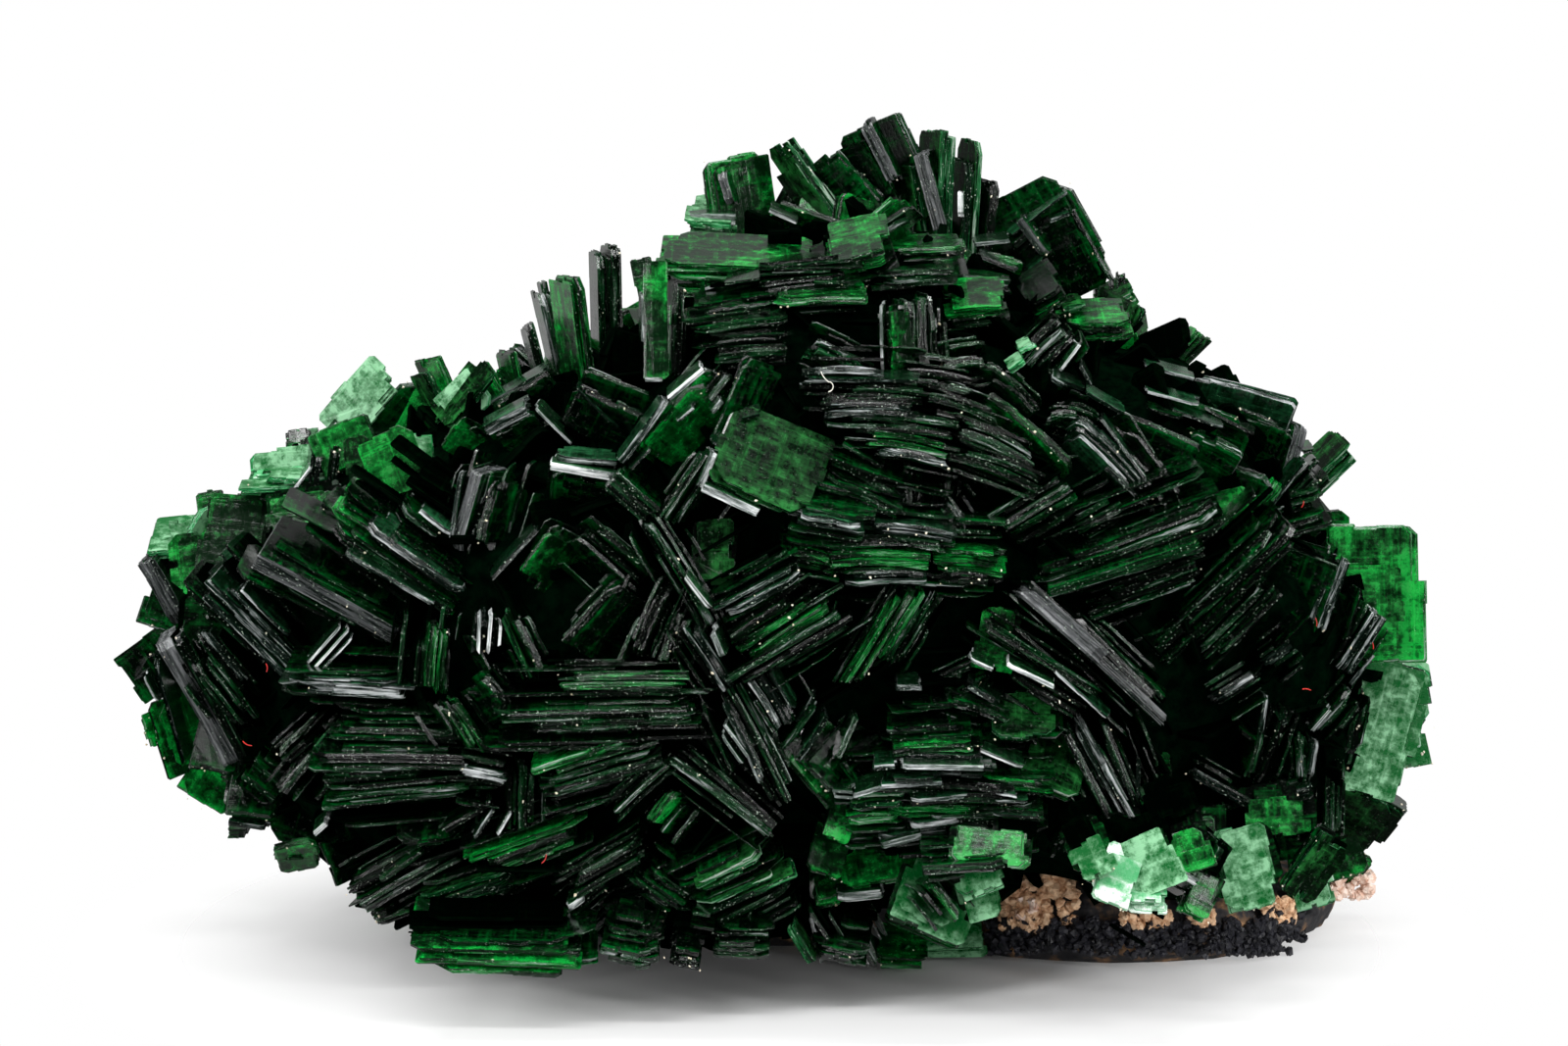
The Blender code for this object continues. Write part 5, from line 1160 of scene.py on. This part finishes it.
# Patches of grains: left and right end (x), lower and upper end (z) as seen, and how many grains.
TAN_PATCHES = (
    (11.8, 14.2, 0.0, 2.5, 130), (14.0, 15.7, 1.8, 3.0, 60), (18.0, 20.7, 0.2, 0.8, 46),
    (21.9, 22.9, 0.1, 1.0, 26), (25.5, 27.2, 0.4, 1.6, 50), (13.6, 15.8, 0.4, 1.4, 26),
)
PINK_PATCHES = ((29.0, 31.3, 1.7, 3.0, 60), (12.4, 13.6, 0.4, 1.6, 20))
BLACK_PATCHES = (
    (11.0, 17.0, -1.3, 0.6, 300), (17.0, 27.0, -1.4, 0.4, 460), (25.5, 27.8, -0.6, 1.0, 70),
)

# Noise stops of the imported root and of the rock, from the darkest up, and how finely both are meshed.
# The root's near-black is painted shade behind the crevices.
ROOT_SHADE_STOPS = ((0.35, (0.0002, 0.0008, 0.0004)), (0.65, (0.0004, 0.004, 0.0014)))
ROCK_STOPS = (
    (0.36, (0.008, 0.008, 0.011)), (0.5, (0.03, 0.028, 0.03)), (0.6, (0.16, 0.09, 0.045)),
    (0.7, (0.42, 0.24, 0.12)),
)
ROOT_GRID, ROCK_GRID = (80, 160), (60, 300)
ROOT_SHRINK, ROOT_ROUGH = 0.5, 1.2

# Kinds of grains on the rock's front edge: name, patches, size, and noise stops of the colour.
GRAIN_KINDS = (
    ("tan_grains", TAN_PATCHES, 0.26, ((0.35, (0.42, 0.2, 0.09)), (0.65, (0.95, 0.66, 0.42)))),
    ("pink_grains", PINK_PATCHES, 0.28, ((0.35, (0.7, 0.42, 0.3)), (0.65, (0.98, 0.84, 0.74)))),
    ("black_knobs", BLACK_PATCHES, 0.22, ((0.35, (0.002, 0.002, 0.003)), (0.65, (0.022, 0.022, 0.032)))),
)

# The most that grains stand out of the rock's edge, the lowest middle of one, how uneven grains are as a
# share of their size, and the size of dust and fibres.
GRAIN_PROUD = 0.5
LOWEST_GRAIN = 0.25
GRAIN_JITTER = 0.3
DUST_SIZE = 0.055
FIBRE_RADIUS = 0.025

# Fibres. A row is: start (x, z) as seen, heading in degrees, length, curl in degrees, how far it stands out.
RED_FIBRES = (
    (27.2, 22.4, 40, 0.4, 60, 0.5), (28.1, 16.1, 70, 0.5, 50, 0.6), (27.4, 12.8, 20, 0.5, -50, 0.8),
    (31.1, 14.9, 80, 0.5, 40, -0.4), (-26.8, 13.7, 60, 0.5, 60, 2.4), (-28.7, 19, 20, 0.5, 60, 1.8),
    (-12.5, 3.5, 30, 0.6, 60, 3.4), (-28.1, 10.1, -60, 0.6, 60, 2.2),
)
PALE_FIBRES = ((2.2, 29.6, -75, 0.8, 40, 2.2), (2.6, 29.0, -10, 0.8, -160, 2.2))

# Strips of light: name, place and size in metres, and which of the light settings is its radiance.
STRIPS = (
    ("top_strip", (0.0, -0.19, 0.27), (0.34, 0.03), "top"),
    ("high_strip", (0.0, 0.02, 0.34), (0.3, 0.05), "top"),
    ("left_strip", (-0.26, -0.19, 0.12), (0.04, 0.22), "side"),
    ("right_strip", (0.25, -0.22, 0.1), (0.04, 0.22), "side"),
)
LIT_POINT = (0.0, 0.0, 0.018)

# The floor is a disc of three rings, in metres. It fades into the white between two distances.
FLOOR_RINGS = (0.02, 0.1, 0.3)
FLOOR_STEPS = 64
FLOOR_STOPS = ((0.3, (0.86, 0.86, 0.86)), (0.7, (0.88, 0.88, 0.88)))
FLOOR_FADE = (0.016, 0.037)

# The camera's lens and film width, in millimetres.
LENS, FILM = 100.0, 36.0


class SpecimenSizes(PropertyGroup):
    """Sizes of the crystals' finer parts."""

    sheet: FloatProperty(
        name="Sheet", description="Thickness of one growth sheet of a crystal", default=0.12 * MM,
        min=0.02 * MM, unit="LENGTH", precision=6,
    )
    ragged: FloatProperty(
        name="Ragged", description="How far the sheets' edges step in, against the usual", default=1.0,
        min=0.0,
    )
    spread: FloatProperty(
        name="Spread", description="Angle by which the outer pages of a stack open",
        default=math.radians(1.4), subtype="ANGLE",
    )
    filler: IntProperty(
        name="Small Crystals", description="How many small crystals fill the crevices in front",
        default=300, min=0,
    )
    parallels: IntProperty(
        name="Parallel Sheets", description="How many thin sheets lie beside each stack, deeper in",
        default=10, min=0,
    )
    dust: IntProperty(
        name="Dust", description="How many pale grains lie on the crystals' rims", default=420, min=0
    )
    back_filler: IntProperty(
        name="Back Crystals", description="How many more crystals cover the unseen side", default=280, min=0
    )


class SpecimenColours(PropertyGroup):
    """Colours of the crystals, as linear values."""

    # The crevice colours are painted shade: near-black for crystals deep in the crevices, where shade falls.
    deep_deep: FloatVectorProperty(
        name="Crevice Deep", description="Crystals deep in the crevices where they are darkest",
        subtype="COLOR", default=(0.0001, 0.0004, 0.0002), min=0, max=1,
    )
    deep_bright: FloatVectorProperty(
        name="Crevice Bright", description="Crystals deep in the crevices where they are lightest",
        subtype="COLOR", default=(0.0003, 0.004, 0.001), min=0, max=1,
    )
    dark_deep: FloatVectorProperty(
        name="Dark Deep", description="Thick crystals where they are darkest",
        subtype="COLOR", default=(0.0003, 0.0022, 0.0008), min=0, max=1,
    )
    dark_bright: FloatVectorProperty(
        name="Dark Bright", description="Thick crystals where they are lightest",
        subtype="COLOR", default=(0.0006, 0.15, 0.02), min=0, max=1,
    )
    emerald_deep: FloatVectorProperty(
        name="Emerald Deep", description="Thin crystals where they are darkest",
        subtype="COLOR", default=(0.0003, 0.018, 0.003), min=0, max=1,
    )
    emerald_bright: FloatVectorProperty(
        name="Emerald Bright", description="Thin crystals where they are lightest",
        subtype="COLOR", default=(0.004, 0.52, 0.06), min=0, max=1,
    )
    clouded_deep: FloatVectorProperty(
        name="Clouded Deep", description="Dull crystals where they are darkest",
        subtype="COLOR", default=(0.0003, 0.005, 0.001), min=0, max=1,
    )
    clouded_bright: FloatVectorProperty(
        name="Clouded Bright", description="Dull crystals where they are lightest",
        subtype="COLOR", default=(0.014, 0.14, 0.026), min=0, max=1,
    )
    milky_deep: FloatVectorProperty(
        name="Milky Deep", description="Pale crystals at the edges where they are darkest",
        subtype="COLOR", default=(0.002, 0.12, 0.02), min=0, max=1,
    )
    milky_bright: FloatVectorProperty(
        name="Milky Bright", description="Pale crystals at the edges where they are lightest",
        subtype="COLOR", default=(0.27, 0.6, 0.33), min=0, max=1,
    )
    silvery_deep: FloatVectorProperty(
        name="Silvery Deep", description="Crystals with bright rims where they are darkest",
        subtype="COLOR", default=(0.001, 0.01, 0.003), min=0, max=1,
    )
    silvery_bright: FloatVectorProperty(
        name="Silvery Bright", description="Crystals with bright rims where they are lightest",
        subtype="COLOR", default=(0.02, 0.14, 0.05), min=0, max=1,
    )
    white_deep: FloatVectorProperty(
        name="White Deep", description="Faces behind the brightest rims where they are darkest",
        subtype="COLOR", default=(0.001, 0.01, 0.003), min=0, max=1,
    )
    white_bright: FloatVectorProperty(
        name="White Bright", description="Faces behind the brightest rims where they are lightest",
        subtype="COLOR", default=(0.02, 0.14, 0.04), min=0, max=1,
    )
    pale_deep: FloatVectorProperty(
        name="Pale Deep", description="The palest crystals where they are darkest",
        subtype="COLOR", default=(0.06, 0.36, 0.13), min=0, max=1,
    )
    pale_bright: FloatVectorProperty(
        name="Pale Bright", description="The palest crystals where they are lightest",
        subtype="COLOR", default=(0.88, 0.97, 0.9), min=0, max=1,
    )
    # The slate slabs' grey rims are a painted reflection; these are the colours of their faces.
    slate_deep: FloatVectorProperty(
        name="Slate Deep", description="Faces of the slabs with smooth grey rims where they are darkest",
        subtype="COLOR", default=(0.0003, 0.0022, 0.0008), min=0, max=1,
    )
    slate_bright: FloatVectorProperty(
        name="Slate Bright", description="Faces of the slabs with smooth grey rims where they are lightest",
        subtype="COLOR", default=(0.0006, 0.12, 0.016), min=0, max=1,
    )


class SpecimenLight(PropertyGroup):
    """Strength of the studio lights."""

    top: FloatProperty(name="Top", description="Radiance of the strips above", default=18.0, min=0.0)
    side: FloatProperty(
        name="Side", description="Radiance of the strips at both sides", default=21.0, min=0.0
    )
    front: FloatProperty(
        name="Front", description="Strength of the sky on the near side", default=0.015, min=0.0
    )
    back: FloatProperty(
        name="Back", description="Strength of the sky behind, in reflections", default=0.35, min=0.0
    )
    fill: FloatProperty(
        name="Fill", description="Strength of the even fill on dull colour", default=0.75, min=0.0
    )


def finish_material(look):
    """The material of a look, made from its two colours when it is first asked for."""
    made = bpy.data.materials.get(look + "_metatorbernite")
    colours = bpy.context.scene.specimen_colours
    if made is None:
        deep, bright = (tuple(getattr(colours, look + end)) for end in ("_deep", "_bright"))
        made = crystal_material(look, deep, bright)
    return made


def crystal_piece(name, crop, look):
    """A piece of crystals of one look, which stands for the solid of the crystals."""
    new_piece(name, crop.mesh(name), finish_material(look), "metatorbernite", "crystal_mass")


def add_seen(look):
    """Adds the seen crystals of one look, as one piece or as one for each place."""
    word = LOOKS[look]
    crops = collections.defaultdict(Crop)
    grow_seen(look, bpy.context.scene.specimen_sizes, crops)
    for place, crop in crops.items():
        crystal_piece(f"{word}_crystals_{place}".rstrip("_"), crop, word)


class AddDarkCrystals(Operator):
    """Stacks whose thick sheets look black-green from their rims."""

    bl_idname = "specimen.dark_crystals"
    bl_label = "Dark Crystals"

    def execute(self, context):
        add_seen("d")
        return {"FINISHED"}


class AddEmeraldCrystals(Operator):
    """Thin plates that light shines through."""

    bl_idname = "specimen.emerald_crystals"
    bl_label = "Emerald Crystals"

    def execute(self, context):
        add_seen("e")
        return {"FINISHED"}


class AddMilkyCrystals(Operator):
    """Clouded plates, and pale rims: partly their own milky colour, partly painted highlight."""

    bl_idname = "specimen.milky_crystals"
    bl_label = "Milky Crystals"

    def execute(self, context):
        add_seen("m")
        return {"FINISHED"}


class AddCloudedCrystals(Operator):
    """Dull green plates with crossed growth lines."""

    bl_idname = "specimen.clouded_crystals"
    bl_label = "Clouded Crystals"

    def execute(self, context):
        add_seen("c")
        return {"FINISHED"}


class AddSilveryCrystals(Operator):
    """Stacks and slivers whose rims carry painted highlights in fine pale lines."""

    bl_idname = "specimen.silvery_crystals"
    bl_label = "Silvery Crystals"

    def execute(self, context):
        add_seen("s")
        return {"FINISHED"}


class AddPaleCrystals(Operator):
    """The palest plates, at the lower right and the back left."""

    bl_idname = "specimen.pale_crystals"
    bl_label = "Pale Crystals"

    def execute(self, context):
        add_seen("p")
        return {"FINISHED"}


class AddSlateCrystals(Operator):
    """Thick slabs whose smooth rims carry a painted dull grey reflection."""

    bl_idname = "specimen.slate_crystals"
    bl_label = "Slate Crystals"

    def execute(self, context):
        add_seen("g")
        return {"FINISHED"}


class AddWhiteCrystals(Operator):
    """Painted glints: the brightest rims, painted near-white."""

    bl_idname = "specimen.white_crystals"
    bl_label = "White Crystals"

    def execute(self, context):
        add_seen("w")
        return {"FINISHED"}


class AddBackCrystals(Operator):
    """The unseen side: large stacks where the solid has them, and smaller ones between."""

    bl_idname = "specimen.back_crystals"
    bl_label = "Back Crystals"

    def execute(self, context):
        sizes = context.scene.specimen_sizes
        crystal_piece("back_crystals", grow_back(sizes, BACK_CRYSTALS, 0.0, 1.0, BACK_SEED), "dark")
        small = grow_back(sizes, sizes.back_filler, BACK_SMALL_SINK, BACK_SMALL_SHRINK, BACK_SMALL_SEED)
        crystal_piece("back_small_crystals", small, "emerald")
        return {"FINISHED"}


class AddFillerCrystals(Operator):
    """Small crystals deep in the crevices, and thin sheets parallel to the stacks; the small crystals and
    the far sheets are near-black painted shade.
    """

    bl_idname = "specimen.filler_crystals"
    bl_label = "Small Crystals"

    def execute(self, context):
        sizes = context.scene.specimen_sizes
        crystal_piece("small_crystals", front_filler(sizes.filler), "deep")
        near, far = grow_parallels(sizes)
        crystal_piece("near_sheets", near, "dark")
        crystal_piece("far_sheets", far, "deep")
        return {"FINISHED"}


class AddRoot(Operator):
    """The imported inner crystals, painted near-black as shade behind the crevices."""

    bl_idname = "specimen.root"
    bl_label = "Root"

    def execute(self, context):
        material = stone_material("packed_metatorbernite", ROOT_SHADE_STOPS, 1.3, (0.5, 0.9), 0.08, 0.0)
        mesh = skin_mesh("packed_root", root_points(*ROOT_GRID, ROOT_SHRINK, ROOT_ROUGH))
        new_piece("packed_root", mesh, material, "metatorbernite", "crystal_mass")
        return {"FINISHED"}


class AddRock(Operator):
    """The slab of dark rock with its crust of grains along the front edge."""

    bl_idname = "specimen.rock"
    bl_label = "Rock"

    def execute(self, context):
        material = stone_material("dark_rock", ROCK_STOPS, 0.8, (0.5, 0.9), 0.12)
        mesh = skin_mesh("rock_slab", rock_points(*ROCK_GRID))
        new_piece("rock_slab", mesh, material, "host_rock", "matrix_rock")
        dice = np.random.default_rng(PATCH_SEED)
        for name, patches, size, colours in GRAIN_KINDS:
            crop = grains(GRAIN_SEED, grain_places(dice, patches, GRAIN_PROUD), size, GRAIN_JITTER)
            made = stone_material(name + "_stone", colours, 2.2, (0.35, 0.7), 0.03)
            new_piece(name, crop.mesh(name), made, "host_rock", "matrix_rock")
        return {"FINISHED"}


def dust_places(count):
    """Places on the rims of the seen stacks, each with its own dice, and none too near the floor."""
    rows = [row for rows, _ in SEEN_GROUPS.values() for row in rows]
    places = []
    for index in range(count):
        dice = np.random.default_rng((DUST_SEED, index))
        row = rows[dice.integers(len(rows))]
        middle, axes, rim = seen_stack(row)
        along, through = dice.uniform(-0.48, 0.48) * rim, dice.uniform(-0.5, 0.5) * row[4]
        places.append(middle + axes[0] * along + axes[1] * dice.uniform(0.0, 0.12) + axes[2] * through)
    return [place for place in places if place[2] > FLOOR_GAP]


def fibre_rings(x, z, heading, length, curl, out):
    """A fine hair as a six-sided tube: as seen, P(t) runs along (cos h, sin h), h = heading + curl * t."""
    turn = math.radians(heading) + math.radians(curl) * np.linspace(0, 1, 12)
    along = np.stack((np.cos(turn), np.sin(turn)), axis=-1) * length / 12
    path = np.cumsum(along, axis=0)
    depth = rim_depth(x, z, out)
    middle = np.stack([along_sight(x + step[0], z + step[1], depth) for step in path])
    angle = np.linspace(0, math.tau, 6, endpoint=False)
    side = np.stack((-np.sin(turn), 0 * turn, np.cos(turn)), axis=-1)
    across, beside = np.cos(angle)[None, :, None], np.sin(angle)[None, :, None]
    ring = across * np.array((0.0, 1.0, 0.0)) + beside * side[:, None, :]
    return middle[:, None, :] + ring * FIBRE_RADIUS


class AddDust(Operator):
    """Pale dust on the rims, a few red fibres, and a pale hair in two stretches."""

    bl_idname = "specimen.dust"
    bl_label = "Dust"

    def execute(self, context):
        places = dust_places(context.scene.specimen_sizes.dust)
        crop = grains(DUST_GRAIN_SEED, places, DUST_SIZE, GRAIN_JITTER)
        stops = ((0.35, (0.5, 0.42, 0.28)), (0.65, (0.9, 0.85, 0.7)))
        made = stone_material("dust_stone", stops, 2.2, (0.4, 0.7), 0.01)
        new_piece("pale_dust", crop.mesh("pale_dust"), made, "host_rock", "crystal_mass")
        for name, paths, colours in (
            ("red_fibres", RED_FIBRES, ((0.35, (0.45, 0.01, 0.01)), (0.65, (0.75, 0.03, 0.02)))),
            ("pale_fibres", PALE_FIBRES, ((0.35, (0.7, 0.68, 0.6)), (0.65, (0.9, 0.88, 0.8)))),
        ):
            crop = Crop()
            for path in paths:
                rings = fibre_rings(*path)
                crop.add(rings, rings, 0.5)
            made = stone_material(name + "_lint", colours, 1.0, (0.5, 0.7), 0.005)
            new_piece(name, crop.mesh(name), made, "host_rock", "crystal_mass")
        return {"FINISHED"}


def add_light(name, place, size, radiance):
    """A soft rectangular light that looks at the specimen; its power is pi * area * radiance."""
    data = bpy.data.lights.new(name, "AREA")
    data.shape = "RECTANGLE"
    data.size, data.size_y = size
    data.energy = math.pi * size[0] * size[1] * radiance
    made = bpy.data.objects.new(name, data)
    made.location = place
    bpy.context.scene.collection.objects.link(made)
    aim_at(made, LIT_POINT)


def aim_at(made, target):
    """Turns a light or camera so that its -Z axis looks at the target, level with the ground."""
    back = unit(np.array(made.location) - np.array(target))
    side = np.cross((0.0, 0.0, 1.0), back)
    side = unit(side) if np.linalg.norm(side) > 1e-6 else np.array((1.0, 0.0, 0.0))
    upright = np.cross(back, side)
    matrix = np.eye(4)
    matrix[:3, 0], matrix[:3, 1], matrix[:3, 2], matrix[:3, 3] = side, upright, back, made.location
    made.matrix_world = Matrix(matrix.tolist())


def soft_sky(light):
    """The sky: white to the camera, even for dull colour, darker in reflections and on the near side."""
    world = bpy.data.worlds.new("studio")
    world.use_nodes = True
    tree = world.node_tree
    tree.nodes.clear()
    way = tree.nodes.new("ShaderNodeTexCoord")
    parts = tree.nodes.new("ShaderNodeSeparateXYZ")
    tree.links.new(way.outputs["Generated"], parts.inputs[0])
    ray = tree.nodes.new("ShaderNodeLightPath")

    def behind(high):
        """Strength that grows from the front value to this one towards +Y."""
        made = node(tree, "MapRange", in_1=0.3, in_2=0.75, in_3=light.front, in_4=high)
        tree.links.new(parts.outputs["Y"], made.inputs[0])
        return made.outputs[0]

    strength = node(tree, "MapRange", in_1=0.0, in_2=1.0, in_3=light.fill)
    tree.links.new(ray.outputs["Is Glossy Ray"], strength.inputs[0])
    tree.links.new(behind(light.back), strength.inputs[4])
    through = node(tree, "Mix", data_type="FLOAT")
    tree.links.new(ray.outputs["Is Transmission Ray"], through.inputs["Factor"])
    tree.links.new(strength.outputs[0], through.inputs["A"])
    tree.links.new(behind(1.0), through.inputs["B"])
    seen = node(tree, "Mix", data_type="FLOAT", in_B=1.0)
    tree.links.new(ray.outputs["Is Camera Ray"], seen.inputs["Factor"])
    tree.links.new(through.outputs["Result"], seen.inputs["A"])
    sky = node(tree, "Background", in_Color=(1.0, 1.0, 1.0, 1.0))
    tree.links.new(seen.outputs["Result"], sky.inputs["Strength"])
    output = tree.nodes.new("ShaderNodeOutputWorld")
    tree.links.new(sky.outputs[0], output.inputs[0])
    bpy.context.scene.world = world


class AddStage(Operator):
    """Pale floor, soft lights and the camera where the photographer stood."""

    bl_idname = "specimen.stage"
    bl_label = "Stage"

    def execute(self, context):
        scene = context.scene
        light = scene.specimen_light
        angle = np.linspace(0, math.tau, FLOOR_STEPS, endpoint=False)
        ring = np.array(FLOOR_RINGS)[:, None]
        points = np.stack((ring * np.cos(angle), ring * np.sin(angle), 0 * ring + 0 * angle), axis=-1)
        index = np.arange(len(FLOOR_RINGS) * FLOOR_STEPS).reshape(-1, FLOOR_STEPS)
        turned = np.roll(index, -1, axis=1)
        faces = np.stack((index[:-1], index[1:], turned[1:], turned[:-1]), axis=-1).reshape(-1, 4).tolist()
        mesh = bpy.data.meshes.new("floor")
        mesh.from_pydata(points.reshape(-1, 3).tolist(), [], faces + [index[0].tolist()])
        material, tree, shader = new_material("pale_floor")
        tree.links.new(ramp(tree, object_noise(tree, 0.02), FLOOR_STOPS), shader.inputs["Base Color"])
        shader.inputs["Roughness"].default_value = 0.6
        way = tree.nodes.new("ShaderNodeTexCoord")
        distance = node(tree, "VectorMath", operation="LENGTH")
        tree.links.new(way.outputs["Object"], distance.inputs[0])
        fade = node(tree, "MapRange", in_1=FLOOR_FADE[0], in_2=FLOOR_FADE[1], in_3=1.0, in_4=0.0)
        tree.links.new(distance.outputs["Value"], fade.inputs[0])
        tree.links.new(fade.outputs[0], shader.inputs["Alpha"])
        mesh.materials.append(material)
        floor = bpy.data.objects.new("floor", mesh)
        scene.collection.objects.link(floor)

        for name, place, size, strength in STRIPS:
            add_light(name, place, size, getattr(light, strength))
        soft_sky(light)

        lens = bpy.data.cameras.new("camera")
        lens.lens, lens.sensor_width = LENS, FILM
        camera = bpy.data.objects.new("camera", lens)
        camera.location = (EYE + SHIFT) * MM
        scene.collection.objects.link(camera)
        aim_at(camera, (AIM + SHIFT) * MM)
        scene.camera = camera
        scene.view_settings.view_transform = "Standard"
        return {"FINISHED"}


class SpecimenPanel(Panel):
    """Lists the sizes, colours and steps of the specimen."""

    bl_idname = "VIEW3D_PT_specimen"
    bl_label = "Metatorbernite Specimen"
    bl_space_type = "VIEW_3D"
    bl_region_type = "UI"
    bl_category = "Specimen"

    def draw(self, context):
        for group_name in GROUPS:
            group = getattr(context.scene, group_name)
            box = self.layout.box()
            for name in group.bl_rna.properties.keys():
                if name not in ("rna_type", "name"):
                    box.prop(group, name)
        for step in STEPS:
            self.layout.operator(step.bl_idname)


STEPS = (
    AddRoot, AddDarkCrystals, AddEmeraldCrystals, AddCloudedCrystals, AddMilkyCrystals,
    AddSilveryCrystals, AddWhiteCrystals, AddPaleCrystals, AddSlateCrystals, AddFillerCrystals,
    AddBackCrystals, AddRock, AddDust, AddStage,
)
GROUPS = {
    "specimen_sizes": SpecimenSizes, "specimen_colours": SpecimenColours, "specimen_light": SpecimenLight,
}


def register():
    """Makes the settings and the steps known to Blender."""
    for made in (*GROUPS.values(), *STEPS, SpecimenPanel):
        bpy.utils.register_class(made)
    for name, made in GROUPS.items():
        setattr(bpy.types.Scene, name, PointerProperty(type=made))


def unregister():
    """Takes them out again, in reverse."""
    for name in GROUPS:
        delattr(bpy.types.Scene, name)
    for made in reversed((*GROUPS.values(), *STEPS, SpecimenPanel)):
        bpy.utils.unregister_class(made)


def main():
    """Builds the specimen step by step."""
    register()
    bpy.ops.specimen.root()
    bpy.ops.specimen.dark_crystals()
    bpy.ops.specimen.emerald_crystals()
    bpy.ops.specimen.clouded_crystals()
    bpy.ops.specimen.milky_crystals()
    bpy.ops.specimen.silvery_crystals()
    bpy.ops.specimen.white_crystals()
    bpy.ops.specimen.pale_crystals()
    bpy.ops.specimen.slate_crystals()
    bpy.ops.specimen.filler_crystals()
    bpy.ops.specimen.back_crystals()
    bpy.ops.specimen.rock()
    bpy.ops.specimen.dust()
    bpy.ops.specimen.stage()


if __name__ == "__main__":
    main()
